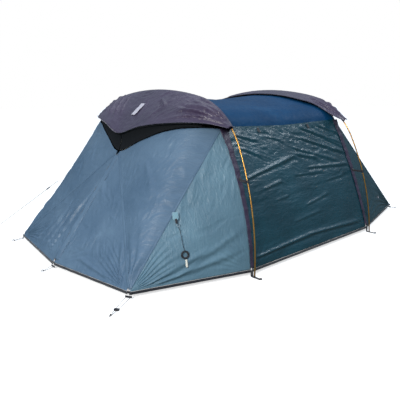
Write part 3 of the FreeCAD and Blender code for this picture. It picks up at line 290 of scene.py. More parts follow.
looks = {
    clothMaterial: {
        # painted light: the porch copy of the fly's one cloth, painted paler for the light coming through the porch
        "paintedLitPorchCloth": ("coatedPolyesterPorch", {
            "base": "#587188", "dark": "#48627A", "light": "#6A8499", "roughness": 0.42,
            "pull": (44.0, 10.0, 8.0), "drawn": 0.26, "shine": 0.4}),
        # painted light: the porch side copy of the same cloth, painted palest for the light coming through the porch
        # side
        "paintedLitPorchSideCloth": ("coatedPolyesterPorchSide", {
            "base": "#5F7F90", "dark": "#537182", "light": "#6C8E9E", "roughness": 0.42,
            "pull": (44.0, 10.0, 8.0), "drawn": 0.26, "shine": 0.45}),
        # painted shade: the wall copy of the same cloth, painted dark for the shade where the inner tent behind it
        # blocks the light
        "paintedShadeFlyCloth": ("coatedPolyesterFly", {
            "base": "#11414F", "dark": "#0D3744", "light": "#194C5B", "roughness": 0.30,
            "pull": (30.0, 7.0, 8.0), "drawn": 0.22, "shine": 0.75}),
        # painted light: the roof copy of the same cloth, painted a deeper blue for how the upward-facing roof is lit
        "paintedLightRoofCloth": ("coatedPolyesterRoof", {
            "base": "#0B4067", "dark": "#08375B", "light": "#124B73", "roughness": 0.5, "crease": 0.3,
            "pull": (14.0, 6.0, 8.0), "drawn": 0.1, "shine": 0.1}),
        "hoodCloth": ("coatedPolyesterHood", {
            "base": "#3C3049", "dark": "#2C2439", "light": "#4E4159", "roughness": 0.38, "sheen": 0.05,
            "crumple": 0.03, "crease": 0.5, "pull": (16.0, 12.0, 8.0), "drawn": 0.3, "shine": 0.5}),
        "sleeveCloth": ("coatedPolyesterSleeve", {
            "base": "#38354C", "dark": "#2C293E", "light": "#47435A", "roughness": 0.42, "sheen": 0.05,
            "crumple": 0.03, "pull": (12.0, 12.0, 30.0), "drawn": 0.25, "shine": 0.5, "flat": False}),
        "innerCloth": ("breathableNylonInner", {
            "base": "#CFCDBF", "dark": "#BDBBAE", "light": "#DAD8CC", "roughness": 0.62, "sheen": 0.3,
            "crumple": 0.05, "crease": 0.3, "pull": (8.0, 8.0, 8.0), "drawn": 0.2, "shine": 0.3}),
        "floorCloth": ("coatedNylonFloor", {
            "base": "#1E242C", "dark": "#161B22", "light": "#2A323B", "roughness": 0.5, "coat": 0.1, "sheen": 0.1,
            "crumple": 0.05, "crease": 0.3, "pull": (8.0, 8.0, 8.0), "drawn": 0.2, "shine": 0.3}),
    },
    meshMaterial: {
        # painted shade: the net's near-black tones stand for the shade in the vents
        "net": ("knittedPolyesterNet", {"base": "#0B1016", "dark": "#040608", "hole": 0.003}),
    },
    webbingMaterial: {
        "webbing": ("wovenPolypropyleneWebbing", {
            "base": "#23222C", "dark": "#121219", "dust": "#3B3A44", "rib": 0.0022, "roughness": 0.68}),
        "binding": ("grosgrainBinding", {
            "base": "#1B1B29", "dark": "#0E0E17", "dust": "#333142", "rib": 0.0018, "roughness": 0.6}),
        "sleeveBinding": ("grosgrainHoodBinding", {
            "base": "#3A3450", "dark": "#262138", "dust": "#57506E", "rib": 0.0018, "roughness": 0.6}),
        "zipTape": ("wovenZipTape", {
            "base": "#1C1F27", "dark": "#0F1116", "dust": "#32363F", "rib": 0.0016, "roughness": 0.7}),
        "patchCloth": ("wovenPolyesterPatch", {
            "base": "#CFCBD2", "dark": "#A9A5B4", "dust": "#E4E2E6", "rib": 0.002, "roughness": 0.6}),
        "tealWebbing": ("wovenNylonPatch", {
            "base": "#8FB5C0", "dark": "#6D93A2", "dust": "#B4CDD3", "rib": 0.002, "roughness": 0.6}),
    },
    metalMaterial: {
        "poleAlloy": ("anodisedAluminiumGold", {"base": "#D8A558", "dark": "#B47C3C", "roughness": 0.30}),
        "bareAlloy": ("turnedAluminium", {"base": "#8B8886", "dark": "#5A5756", "roughness": 0.36}),
        "platedSteel": ("nickelPlatedSteel", {"base": "#B9BBBE", "dark": "#77797D", "roughness": 0.28}),
        "pegWire": ("galvanisedWire", {"base": "#6B645C", "dark": "#453F3A", "roughness": 0.42}),
        "zipMetal": ("blackenedZinc", {"base": "#56585E", "dark": "#2A2B30", "roughness": 0.4}),
    },
    plasticMaterial: {
        "darkPlastic": ("mouldedNylonBlack", {"base": "#17171B", "light": "#2E2E34", "roughness": 0.5}),
        "palePlastic": ("mouldedNylonIvory", {"base": "#D8D5C8", "light": "#ECE9DE", "roughness": 0.45}),
    },
    braidMaterial: {
        "guyCord": ("braidedPolyesterPale", {"base": "#C9C5BA", "dark": "#8C8880", "strand": 0.0016}),
        "darkCord": ("braidedPolyesterBlack", {"base": "#1E1D24", "dark": "#0C0C10", "strand": 0.0016}),
        "elastic": ("braidedElastic", {"base": "#C6C6BE", "dark": "#8A8A84", "strand": 0.0014}),
        "thread": ("twistedPolyesterThread", {"base": "#465C70", "dark": "#33475A", "strand": 0.001}),
    },
}
finish = {key: maker(label, look) for maker, group in looks.items() for key, (label, look) in group.items()}


# ---- shapes shared by the cloth pieces

tent = {"eaveX": 0.735, "eaveZ": 1.005, "crownZ": 1.230, "hemX": 1.068, "hemZ": 0.050, "round": 0.200,
        "ridgeSag": 0.052, "eaveSag": 0.022, "eavePull": 0.018, "bulge": (0.060, 0.030, 0.028),
        "frontY": -0.785, "rearY": 0.785, "frontLean": math.radians(2.3), "rearLean": math.radians(-6.3),
        "setback": 0.006, "clothThick": 0.0008}


def smooth(value, low, high):
    share = np.clip((value - low) / (high - low), 0.0, 1.0)
    return share * share * (3 - 2 * share)


def onHoop(front, x, height, ahead=0.0):
    # points of a hoop's leaning plane, as a stack of rows
    lean = tent["frontLean"] if front else tent["rearLean"]
    foot = tent["frontY"] if front else tent["rearY"]
    x, height = np.broadcast_arrays(np.asarray(x, float), np.asarray(height, float))
    return np.stack([x, foot + height * math.sin(lean) + ahead * math.cos(lean),
                     height * math.cos(lean) - ahead * math.sin(lean)], -1)


def legEdge(front, share, side, ahead, out=0.0):
    # the fly's edge beside a hoop, from the eave (share 0) to the hem (share 1)
    bulge = tent["bulge"][0] if front else tent["bulge"][2]
    x = tent["eaveX"] + share * (tent["hemX"] - tent["eaveX"]) + 4 * bulge * share * (1 - share) + out
    return onHoop(front, side * x, tent["eaveZ"] + share * (tent["hemZ"] - tent["eaveZ"]), ahead)


poleBends = ((2.060, (-0.960, 0.0), 0.0, 25.18), (0.585, (0.37484, 0.62756), 25.18, 78.59),
             (2.480, (0.0, -1.230), 78.59, 90.0))


def poleHeight(x, offset):
    # height of the pole's line above x, moved out by offset
    for radius, centre, low, high in poleBends:
        reach = radius + offset
        if centre[0] + reach * math.cos(math.radians(high)) - 1e-9 <= abs(x):
            return centre[1] + math.sqrt(reach ** 2 - (abs(x) - centre[0]) ** 2)
    return 0.0


def throughStations(stations, places):
    # a smooth line through the stations, even about x = 0, sampled at these x places
    x = np.array([s[0] for s in stations])
    full = np.concatenate([-x[:0:-1], x])
    columns = []
    for k in range(1, len(stations[0])):
        y = np.array([s[k] for s in stations])
        y = np.concatenate([y[:0:-1], y])
        slope = np.gradient(y, full)
        i = np.clip(np.searchsorted(full, places) - 1, 0, len(full) - 2)
        run = full[i + 1] - full[i]
        t = (places - full[i]) / run
        columns.append((2 * t**3 - 3 * t**2 + 1) * y[i] + (t**3 - 2 * t**2 + t) * run * slope[i]
                       + (3 * t**2 - 2 * t**3) * y[i + 1] + (t**3 - t**2) * run * slope[i + 1])
    return columns


def bodyProfile(share, eaveX, eaveZ, crownZ, bulge):
    # one side of the fly's section, from the crown (share 0) round the eave to the hem (share 1)
    wall = math.atan2(tent["hemX"] - tent["eaveX"], tent["eaveZ"] - tent["hemZ"])
    r = tent["round"]
    sx, sz = eaveX - r * math.cos(wall), eaveZ - r * math.sin(wall)
    crown = (sx**2 + (sz - crownZ) ** 2 - r**2) / (2 * (crownZ - sz - r))
    turn = np.arctan2(sz - crownZ + crown, sx)
    a, b = bodyShares[0], bodyShares[1]
    onCrown = math.pi / 2 + (turn - math.pi / 2) * np.clip(share / a, 0, 1)
    onEave = turn + (wall - turn) * np.clip((share - a) / (b - a), 0, 1)
    down = np.clip((share - b) / (1 - b), 0, 1)
    x = np.where(share <= a, crown * np.cos(onCrown), sx + r * np.cos(onEave))
    z = np.where(share <= a, crownZ - crown + crown * np.sin(onCrown), sz + r * np.sin(onEave))
    wallX = eaveX + down * (tent["hemX"] - eaveX) + 4 * bulge * down * (1 - down)
    wallZ = eaveZ + down * (tent["hemZ"] - eaveZ)
    return np.where(share > b, wallX, x), np.where(share > b, wallZ, z)


bodyShares = (0.335, 0.452)   # where the crown ends and where the eave's bend ends
bodyHalf = 1.835              # cloth from the crown's centre line to the hem


def bodyPoints(across, along):
    # across runs from -1 at the left hem to +1 at the right, along from the front hoop to the rear
    sag = 1 - np.abs(2 * along - 1) ** 1.3
    bulge = tent["bulge"][0] * (1 - along) + tent["bulge"][2] * along - 0.014 * 4 * along * (1 - along)
    x, height = bodyProfile(np.abs(across), tent["eaveX"] - tent["eavePull"] * sag,
                            tent["eaveZ"] - tent["eaveSag"] * sag, tent["crownZ"] - tent["ridgeSag"] * sag, bulge)
    x = x * np.sign(across)
    ends = [onHoop(True, x, height, tent["setback"]), onHoop(False, x, height, -tent["setback"])]
    return ends[0] * (1 - along)[..., None] + ends[1] * along[..., None]


frontCorner, rearCorner = (0.806, -1.621, 0.050), (0.806, 1.755, 0.050)
doorTop, doorFoot = np.array((0.0, -1.135, 0.810)), np.array((0.0, -1.730, 0.050))
rearCentre = np.array((0.0, 1.770, 0.050))
# stations of the hoods and vents: x, reach away from the hoop's feet, height
frontSill = ((0, 0.350, 0.810), (0.220, 0.300, 0.900), (0.430, 0.222, 0.980), (0.640, 0.100, 1.008),
             (0.735, -0.034, 1.004))
rearSill = ((0, 0.110, 1.072), (0.230, 0.100, 1.066), (0.430, 0.075, 1.050), (0.640, 0.020, 1.020),
            (0.735, -0.104, 0.999))
frontLip = ((0, 0.350, 0.945), (0.230, 0.310, 1.005), (0.450, 0.240, 1.035), (0.620, 0.150, 1.042),
            (0.740, 0.082, 1.034), (0.848, 0.012, 1.008))
rearLip = ((0, 0.150, 1.120), (0.230, 0.138, 1.112), (0.450, 0.105, 1.092), (0.620, 0.050, 1.064),
           (0.740, -0.012, 1.034), (0.848, -0.084, 1.004))
rearBrim = ((0, 0.276, 1.226), (0.230, 0.280, 1.215), (0.450, 0.280, 1.181), (0.620, 0.248, 1.134),
            (0.745, 0.190, 1.053), (0.852, 0.150, 1.000))


def stationLine(stations, x, front, rise=0.0, back=0.0):
    # reach is counted away from the tent's middle, in front of or behind a hoop's feet
    reach, height = throughStations(stations, x)
    y = tent["frontY"] - reach if front else tent["rearY"] + reach
    return np.stack([x, y + back, height + rise], -1)


def sagBetween(start, end, share, sink):
    line = start[None] * (1 - share)[:, None] + end[None] * share[:, None]
    return line + np.asarray(sink)[None] * (4 * share * (1 - share))[:, None]


def fanPoints(apex, edge, rows):
    # rows of points from the apex out to the edge's points
    share = np.linspace(0.012, 1.0, rows)
    return apex[None, None] + (edge[None] - apex[None, None]) * share[:, None, None]


# ---- creases: each adds height to a cloth's surface, in metres, over its flat (u, v) place

ridgeTail, cornerTight = 0.25, 0.03   # share of a crease that fades out, and how near a fan comes to its corner


def ridge(u, v, start, end, width, height):
    # one crease from start to end, fading over its tail
    ax, ay = start
    bx, by = end
    long2 = (bx - ax) ** 2 + (by - ay) ** 2
    t = ((u - ax) * (bx - ax) + (v - ay) * (by - ay)) / long2
    near = np.clip(t, 0, 1)
    off = np.hypot(u - ax - near * (bx - ax), v - ay - near * (by - ay))
    side = np.sign((u - ax) * (by - ay) - (v - ay) * (bx - ax))
    wide = width * (0.55 + 0.75 * near)
    body = np.exp(-(off / wide) ** 2) - 0.45 * np.exp(-((off - wide * 1.7) / wide) ** 2) * (side > 0)
    return height * body * smooth(near, 0, ridgeTail * 0.4) * (1 - smooth(near, 1 - ridgeTail, 1))


def ridges(u, v, folds):
    return sum(ridge(u, v, *fold) for fold in folds)


def fanFolds(u, v, centre, sweep, folds, reach, height, seed):
    # folds that spread out from a tight corner between two directions, in degrees
    du, dv = u - centre[0], v - centre[1]
    far = np.hypot(du, dv)
    low, high = math.radians(sweep[0]), math.radians(sweep[1])
    angle = np.arctan2(dv, du)
    share = (angle - low) / (high - low)
    wander = softNoise(u, v, 0.22, 0.22, seed) * 0.35
    wave = np.sin(2 * math.pi * (folds * share + wander))
    wave = np.sign(wave) * np.abs(wave) ** 0.75
    uneven = 0.55 + 0.9 * np.abs(softNoise(angle * 0.6, far * 0.3, 0.08, 0.5, seed + 3))
    return (height * wave * uneven * smooth(share, 0, 0.14) * (1 - smooth(share, 0.86, 1))
            * smooth(far, cornerTight, cornerTight + 0.10) * (1 - smooth(far, reach * 0.35, reach)))


def softNoise(u, v, alongU, alongV, seed):
    # smooth random swell with its own length in each direction, about -1 to 1
    flat = np.stack([np.ravel(u) / alongU, np.ravel(v) / alongV], -1)
    values = [noise.noise((a, b, seed * 7.31)) for a, b in flat.tolist()]
    return np.array(values).reshape(np.shape(u)) * 1.6


def puckers(u, v, turn, long, short, height, seed, sharp):
    # many short creases lying in one direction, in degrees
    c, s = math.cos(math.radians(turn)), math.sin(math.radians(turn))
    along, across = u * c + v * s, -u * s + v * c
    bend = softNoise(u, v, long, long, seed + 11) * short * 0.9
    swell = softNoise(along, across + bend, long, short, seed)
    creased = (1 - np.abs(swell)) ** 2 - 0.5
    where = smooth(softNoise(u, v, long * 0.9, long * 0.6, seed + 5), -0.5, 0.5)
    return height * ((1 - sharp) * swell + sharp * creased) * where


# ---- mesh helpers

def finishMesh(name, points, faces, material, uv=None, flatShade=False):
    mesh = bpy.data.meshes.new(name)
    mesh.from_pydata([tuple(p) for p in points], [], faces)
    if uv is not None:
        layer = mesh.uv_layers.new(name="flat")
        loops = np.empty(len(mesh.loops), int)
        mesh.loops.foreach_get("vertex_index", loops)
        layer.data.foreach_set("uv", np.asarray(uv, float)[loops].ravel())
    mesh.materials.append(material)
    obj = bpy.data.objects.new(name, mesh)
    scene.collection.objects.link(obj)
    if not flatShade:
        mesh.shade_smooth()
    return obj


def gridShares(points):
    # each point's place along the rows and along the columns, from 0 to 1
    return np.meshgrid(np.linspace(0, 1, points.shape[0]), np.linspace(0, 1, points.shape[1]), indexing="ij")


def easedSides(columns, first, last, share):
    # quieter creases towards the first and the last column
    return smooth(columns, 0.0, first) * (1 - smooth(columns, last, 1.0)) * share + 1 - share


def gridNormals(points):
    down = np.gradient(points, axis=0)
    over = np.gradient(points, axis=1)
    normal = np.cross(over, down)
    size = np.linalg.norm(normal, axis=2, keepdims=True)
    return normal / np.maximum(size, 1e-12)


def selectOnly(*objects):
    bpy.ops.object.select_all(action="DESELECT")
    for obj in objects:
        obj.select_set(True)
    bpy.context.view_layer.objects.active = objects[0]


def applyAll(obj):
    selectOnly(obj)
    for modifier in list(obj.modifiers):
        bpy.ops.object.modifier_apply(modifier=modifier.name)
    return obj


def clothSheet(name, points, uv, relief, outward, material, thick=None):
    # a grid of points becomes one piece of cloth: creased along its normals, then given its thickness
    rows, columns = points.shape[:2]
    normal = gridNormals(points)
    facing = outward(points) if callable(outward) else np.asarray(outward, float)
    if np.sum(normal * facing) < 0:
        normal = -normal
    shaped = points + normal * relief[..., None]
    index = np.arange(rows * columns).reshape(rows, columns)
    quads = np.stack([index[:-1, :-1], index[:-1, 1:], index[1:, 1:], index[1:, :-1]], -1).reshape(-1, 4)
    if facesIn(shaped, quads, normal):
        quads = quads[:, ::-1]
    obj = finishMesh(name, shaped.reshape(-1, 3), quads.tolist(), material, uv.reshape(-1, 2))
    shell = obj.modifiers.new("thickness", "SOLIDIFY")
    shell.thickness, shell.offset = thick or tent["clothThick"], -1.0
    return applyAll(obj)


def facesIn(shaped, quads, normal):
    # true when the first good face looks against its normal
    flat = shaped.reshape(-1, 3)
    picked = quads[len(quads) // 2]
    made = np.cross(flat[picked[1]] - flat[picked[0]], flat[picked[2]] - flat[picked[0]])
    return float(np.dot(made, normal.reshape(-1, 3)[picked[0]])) < 0


def planeUv(points, corner, sideways, upwards):
    # flat place of each point, from a corner, along two directions
    away = points - np.asarray(corner, float)
    return np.stack([away @ unit(sideways), away @ unit(upwards)], -1)


def unit(direction):
    direction = np.asarray(direction, float)
    return direction / np.linalg.norm(direction)


def ribbon(name, path, across, width, thick, material, widths=None):
    # a flat strap along a path, with rounded edges and its own flat map
    path, across = np.asarray(path, float), np.asarray(across, float)
    if across.ndim == 1:
        across = np.repeat(across[None], len(path), 0)
    across = across / np.linalg.norm(across, axis=1, keepdims=True)
    tangent = np.gradient(path, axis=0)
    normal = np.cross(tangent, across)
    normal /= np.maximum(np.linalg.norm(normal, axis=1, keepdims=True), 1e-12)
    wide = np.full(len(path), width) if widths is None else np.asarray(widths, float)
    run = np.concatenate([[0], np.cumsum(np.linalg.norm(np.diff(path, axis=0), axis=1))])
    section = [(-0.5, 0.0), (-0.46, 0.5), (-0.16, 0.5), (0.16, 0.5), (0.46, 0.5), (0.5, 0.0),
               (0.46, -0.5), (0.16, -0.5), (-0.16, -0.5), (-0.46, -0.5)]
    rings = [path + across * (wide * a)[:, None] + normal * (thick * b) for a, b in section]
    points = np.stack(rings, 1).reshape(-1, 3)
    uv = np.stack([np.stack([wide * a, run], -1) for a, b in section], 1).reshape(-1, 2)
    count, size = len(path), len(section)
    faces = [(i * size + j, i * size + (j + 1) % size, (i + 1) * size + (j + 1) % size, (i + 1) * size + j)
             for i in range(count - 1) for j in range(size)]
    faces += [tuple(range(size))[::-1], tuple((count - 1) * size + j for j in range(size))]
    obj = finishMesh(name, points, faces, material, uv)
    return facedOut(obj)


def facedOut(obj):
    work = bmesh.new()
    work.from_mesh(obj.data)
    bmesh.ops.recalc_face_normals(work, faces=work.faces)
    work.to_mesh(obj.data)
    work.free()
    return obj


def joined(name, objects):
    selectOnly(*objects)
    bpy.ops.object.join()
    objects[0].name = objects[0].data.name = name
    return objects[0]


def evenly(path, count):
    path = np.asarray(path, float)
    run = np.concatenate([[0], np.cumsum(np.linalg.norm(np.diff(path, axis=0), axis=1))])
    places = np.linspace(0, run[-1], count)
    return np.stack([np.interp(places, run, path[:, k]) for k in range(3)], -1)


def resampled(path, step):
    path = np.asarray(path, float)
    length = np.linalg.norm(np.diff(path, axis=0), axis=1).sum()
    return evenly(path, max(3, int(length / step) + 1))


stitch = {"pitch": 0.0085, "long": 0.0056, "wide": 0.0011, "high": 0.0009}


def stitchRows(name, rows, material):
    # rows of raised stitches: each row is a path with the cloth's outward direction along it
    points, faces = [], []
    for path, outward in rows:
        line = resampled(path, stitch["pitch"])
        outs = np.broadcast_to(np.asarray(outward, float), line.shape)
        for i in range(len(line) - 1):
            along = (line[i + 1] - line[i]) / max(np.linalg.norm(line[i + 1] - line[i]), 1e-9)
            out = outs[i] / np.linalg.norm(outs[i])
            over = np.cross(along, out)
            middle = line[i] + along * stitch["long"] * 0.5
            base = len(points)
            points += [middle - along * stitch["long"] / 2, middle + along * stitch["long"] / 2,
                       middle + over * stitch["wide"] / 2, middle - over * stitch["wide"] / 2,
                       middle + out * stitch["high"], middle - out * stitch["high"]]
            faces += [(base + a, base + b, base + c) for a, b, c in
                      ((0, 2, 4), (2, 1, 4), (1, 3, 4), (3, 0, 4), (2, 0, 5), (1, 2, 5), (3, 1, 5), (0, 3, 5))]
    return facedOut(finishMesh(name, points, faces, material, np.zeros((len(points), 2))))


def place(obj, body, slotName, *replaced):
    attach(obj, body)
    if replaced:
        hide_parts(*replaced)
    return obj


sides = ((1, "Right"), (-1, "Left"))
ends = ((True, "front"), (False, "rear"))


def downhill(out):
    # the steepest way down on a cloth that faces out
    return unit(np.array((0, 0, -1.0)) + out * out[2])


def flipped(points, side):
    points = np.array(points, float)
    points[..., 0] *= side
    return points


makeCamera(cameraPlace)
makeLights(softLights)
makeSky([(0.0, "#4E5A5C"), (0.35, "#93A3B2"), (0.9, "#DCEBFF")])
print("camera and lights ready")

# ---- cords first: routes match the solids they stand for, in metres

cordWidth = 0.003
cornerRoutes = {
    "cord_front_right": ((0.8230, -1.6186, 0.0200), (0.9260, -1.8197, 0.0025),
                         (0.9138, -1.8266, 0.0025), (0.7951, -1.6343, 0.0200)),
    "cord_front_centre": ((0.0160, -1.7362, 0.0200), (0.0070, -1.8120, 0.0025),
                          (-0.0070, -1.8120, 0.0025), (-0.0160, -1.7362, 0.0200)),
    "cord_front_left": ((-0.7951, -1.6343, 0.0200), (-0.8401, -1.6959, 0.0025),
                        (-0.8523, -1.6890, 0.0025), (-0.8230, -1.6186, 0.0200)),
    "cord_rear_right": ((0.7945, 1.7678, 0.0200), (0.8368, 1.8313, 0.0025),
                        (0.8492, 1.8250, 0.0025), (0.8231, 1.7533, 0.0200)),
    "cord_rear_left": ((-0.8231, 1.7533, 0.0200), (-0.8492, 1.8250, 0.0025),
                       (-0.8368, 1.8313, 0.0025), (-0.7945, 1.7678, 0.0200)),
}
guyRoute = ((-0.9931, -0.7907, 0.6545), (-1.2008, -1.7865, 0.0040),
            (-1.2115, -1.7842, 0.0040), (-1.0784, -1.1458, 0.4210))


def cordCurve(name, points, material):
    data = bpy.data.curves.new(name, "CURVE")
    data.dimensions, data.bevel_depth, data.bevel_resolution = "3D", cordWidth / 2, 3
    data.resolution_u, data.use_fill_caps = 16, True
    line = data.splines.new("NURBS")
    line.points.add(len(points) - 1)
    for target, point in zip(line.points, points):
        target.co = (*point, 1.0)
    line.order_u, line.use_endpoint_u = 3, True
    data.materials.append(material)
    obj = bpy.data.objects.new(name, data)
    scene.collection.objects.link(obj)
    return obj


for cordName, route in cornerRoutes.items():
    loop = cordCurve("loop_" + cordName, route, finish["darkCord"])
    place(loop, "tent", "guy_cord", cordName)
guyLine = cordCurve("guyLineFrontLeft", guyRoute, finish["guyCord"])
place(guyLine, "tent", "guy_cord", "guy_line")

stormRoute = ((0.8266, -1.2305, 0.3897), (0.8405, -1.2277, 0.3639),
              (0.8551, -1.2356, 0.3335), (0.8789, -1.2360, 0.2723))
hank = {"centre": (0.8983, -1.2398, 0.2232), "out": (0.8851, -0.3355, 0.3224), "radius": 0.0207, "turns": 6,
        "perTurn": 16, "spacing": 0.0021}


def hankPoints(side):
    # six flat turns that lie beside and on each other, entered from the top
    centre = flipped(hank["centre"], side)
    out = unit(flipped(hank["out"], side))
    down = downhill(out)
    over = np.cross(out, down)
    corners = [(-1, -1), (1, -1), (3, -1), (3, 1), (1, 1), (-1, 1), (-1, 1)]
    points = []
    for turn in range(hank["turns"]):
        for step in range(hank["perTurn"]):
            share = step / hank["perTurn"]
            shift = float(smooth(share, 0.80, 1.0))
            rise, deep = (corners[turn][k] + (corners[turn + 1][k] - corners[turn][k]) * shift for k in (0, 1))
            angle = 2 * math.pi * share
            reach = hank["radius"] + rise * hank["spacing"]
            points.append(centre - down * reach * math.cos(angle) + over * reach * math.sin(angle)
                          + out * deep * hank["spacing"])
    last = centre - down * (hank["radius"] - hank["spacing"]) + out * hank["spacing"]
    return points + [last]


for side, label in sides:
    name = label.lower()
    route = [tuple(p) for p in flipped(stormRoute[:3], side)] + [tuple(p) for p in hankPoints(side)]
    stormCord = cordCurve("stormGuy_" + name, route, finish["darkCord"])
    place(stormCord, "storm_guy_" + name, "guy_cord", "storm_cord_" + name, "storm_hank_" + name)
print("cords laid")

# ---- fly body: one cloth from hem to hem over both eaves

wallTop = (1 - bodyShares[1]) * bodyHalf   # flat height of the wall above its hem
wallFolds = {
    "right": [((0.12, 0.99), (0.77, 0.76), 0.013, 0.010), ((0.34, 1.0), (0.78, 0.85), 0.012, 0.009),
              ((0.55, 1.0), (0.78, 0.92), 0.012, 0.008), ((0.06, 0.91), (0.76, 0.68), 0.013, 0.009),
              ((-0.04, 0.83), (0.62, 0.63), 0.013, 0.007), ((0.44, 0.86), (0.77, 0.72), 0.011, 0.008),
              ((-0.70, 0.63), (0.02, 0.76), 0.014, 0.012), ((0.02, 0.76), (0.30, 0.70), 0.014, 0.011),
              ((0.10, 0.64), (0.76, 0.60), 0.013, 0.009), ((-0.10, 0.60), (0.34, 0.585), 0.012, 0.007),
              ((-0.66, 0.95), (-0.40, 0.90), 0.011, 0.008), ((-0.60, 0.84), (-0.42, 0.78), 0.011, 0.008),
              ((-0.30, 0.93), (-0.08, 0.88), 0.011, 0.007), ((-0.52, 0.54), (-0.24, 0.58), 0.012, 0.008),
              ((0.30, 0.50), (0.62, 0.52), 0.011, 0.006), ((-0.06, 0.34), (0.34, 0.40), 0.012, 0.007),
              ((-0.40, 0.44), (-0.20, 0.455), 0.011, 0.006), ((-0.24, 0.24), (0.20, 0.275), 0.012, 0.005),
              ((-0.77, 0.075), (0.10, 0.115), 0.015, 0.013), ((-0.10, 0.11), (0.76, 0.075), 0.015, 0.012)],
    "left": [((0.10, 0.99), (0.77, 0.74), 0.014, 0.009), ((-0.12, 0.99), (-0.77, 0.76), 0.014, 0.009),
             ((-0.70, 0.60), (0.05, 0.72), 0.014, 0.010), ((0.05, 0.72), (0.60, 0.62), 0.014, 0.009),
             ((-0.60, 0.38), (0.30, 0.42), 0.013, 0.006), ((-0.76, 0.075), (0.76, 0.095), 0.015, 0.012)],
}


def makeFlyBody():
    # closer columns on the walls, where the creases are, than over the roof
    eave = bodyShares[1] + 0.02
    wallColumns = np.linspace(eave, 1, 122)
    columns = np.concatenate([-wallColumns[::-1], np.linspace(-eave, eave, 80)[1:-1], wallColumns])
    s, t = np.meshgrid(columns, np.linspace(0, 1, 152))
    points = bodyPoints(s, t)
    along = points[..., 1]
    wall = (1 - np.abs(s)) * bodyHalf
    relief = np.zeros(s.shape)
    for side, label in sides:
        part = ridges(along, wall, wallFolds[label.lower()])
        seed = 21 if side > 0 else 43
        part += puckers(along, wall, -11, 0.13, 0.024, 0.0085, seed, 0.85) * smooth(wall, 0.42, 0.80)
        part += puckers(along, wall, -17, 0.10, 0.017, 0.0045, seed + 4, 0.9) * smooth(wall, 0.60, 0.90)
        part += (puckers(along, wall, 4, 0.15, 0.024, 0.0040, seed + 8, 0.85) * (1 - smooth(wall, 0.50, 0.85))
                 * (0.25 + 0.75 * smooth(wall, 0.25, 0.5)))
        part += puckers(along, wall, 2, 0.40, 0.070, 0.0050, seed + 9, 0.3) * (1 - smooth(wall, 0.45, 0.8))
        part += fanFolds(along, wall, (0.785, 1.0), (196, 262), 7, 0.30, 0.0040, seed + 1)
        part += fanFolds(along, wall, (-0.785, 1.0), (278, 352), 6, 0.45, 0.0042, seed + 2)
        part += fanFolds(along, wall, (0.785, 0.0), (96, 172), 6, 0.30, 0.0026, seed + 6)
        part += fanFolds(along, wall, (-0.785, 0.0), (10, 84), 6, 0.30, 0.0026, seed + 7)
        hemSwell = 0.004 * np.sin(along * 9.0 + seed) * (1 - smooth(wall, 0.0, 0.12))
        relief += (part + hemSwell) * (np.sign(s) == side) * (1 - smooth(wall, wallTop - 0.02, wallTop + 0.04))
    roof = smooth(wall, wallTop + 0.02, wallTop + 0.12)
    relief += roof * puckers(s * bodyHalf, along, 90, 0.34, 0.05, 0.0028, 61, 0.4)
    relief += roof * puckers(s * bodyHalf, along, 78, 0.16, 0.025, 0.0016, 67, 0.8)
    # flat-felled seams: one along each eave and one over the middle of the roof
    for seam in (wallTop + 0.02, bodyHalf - 0.30):
        relief += 0.0016 * np.exp(-((wall - seam) / 0.007) ** 2)
    edge = smooth(t, 0.0, 0.035) * (1 - smooth(t, 0.965, 1.0))
    relief *= 0.12 + 0.88 * edge
    relief *= 0.25 + 0.75 * smooth(wall, 0.0, 0.05)
    uv = np.stack([s * bodyHalf, along], -1)
    centre = np.array((0.0, 0.0, 0.35))
    # the walls and ends take the dark painted-shade copy of the cloth
    body = clothSheet("flyBody", points, uv, relief, lambda p: p - centre, finish["paintedShadeFlyCloth"])
    body.data.materials.append(finish["paintedLightRoofCloth"])
    # the roof above the eave seams takes the roof copy of the cloth, its deeper blue painted in for how the roof is
    # lit
    layer = body.data.uv_layers["flat"].data
    roofEdge = bodyHalf - wallTop - 0.02
    for face in body.data.polygons:
        if abs(layer[face.loop_start].uv[0]) < roofEdge:
            face.material_index = 1
    place(body, "tent", "fly_cloth", "fly_roof", "fly_walls")


makeFlyBody()
print("fly body hung")

# ---- porch and rear panels

panelSink = 0.028


def seamLine(side):
    # the sewn seam from a front hem corner up to the eave, drawn in a little by the cloth's tension
    high = legEdge(True, np.array([0.0]), side, -tent["setback"])[0]
    inward = unit((-side * 0.75, 0.65, -0.1))
    return sagBetween(flipped(frontCorner, side), high, np.linspace(0, 1, 60), inward * panelSink)


def bentFan(apex, edge, rows, seamAtStart, seam):
    # a fan whose first or last ray follows the curved seam, eased out over the rest
    grid = fanPoints(apex, edge, rows)
    share = np.linspace(0.012, 1.0, rows)
    straight = seam[0][None] + (seam[-1] - seam[0])[None] * share[:, None]
    places = np.linspace(0, 1, len(seam))
    curved = np.stack([np.interp(share, places, seam[:, k]) for k in range(3)], -1)
    pull = curved - straight
    reach = np.linspace(0, 1, edge.shape[0])
    near = reach if seamAtStart else 1 - reach
    return grid + pull[:, None] * (1 - smooth(near, 0.0, 0.75))[None, :, None]


sideFolds = {
    1: [((0.10, 0.02), (0.62, 0.20), 0.018, 0.008), ((0.16, 0.015), (0.80, 0.14), 0.018, 0.009),
        ((0.30, 0.03), (0.86, 0.30), 0.020, 0.006), ((0.72, 0.95), (0.60, 0.62), 0.022, 0.006),
        ((0.60, 0.80), (0.50, 0.48), 0.022, 0.005), ((0.44, 0.60), (0.40, 0.34), 0.020, 0.005)],
    -1: [((0.10, 0.02), (0.60, 0.22), 0.018, 0.008), ((0.30, 0.03), (0.84, 0.16), 0.020, 0.008),
         ((0.70, 0.92), (0.56, 0.60), 0.022, 0.006)],
}


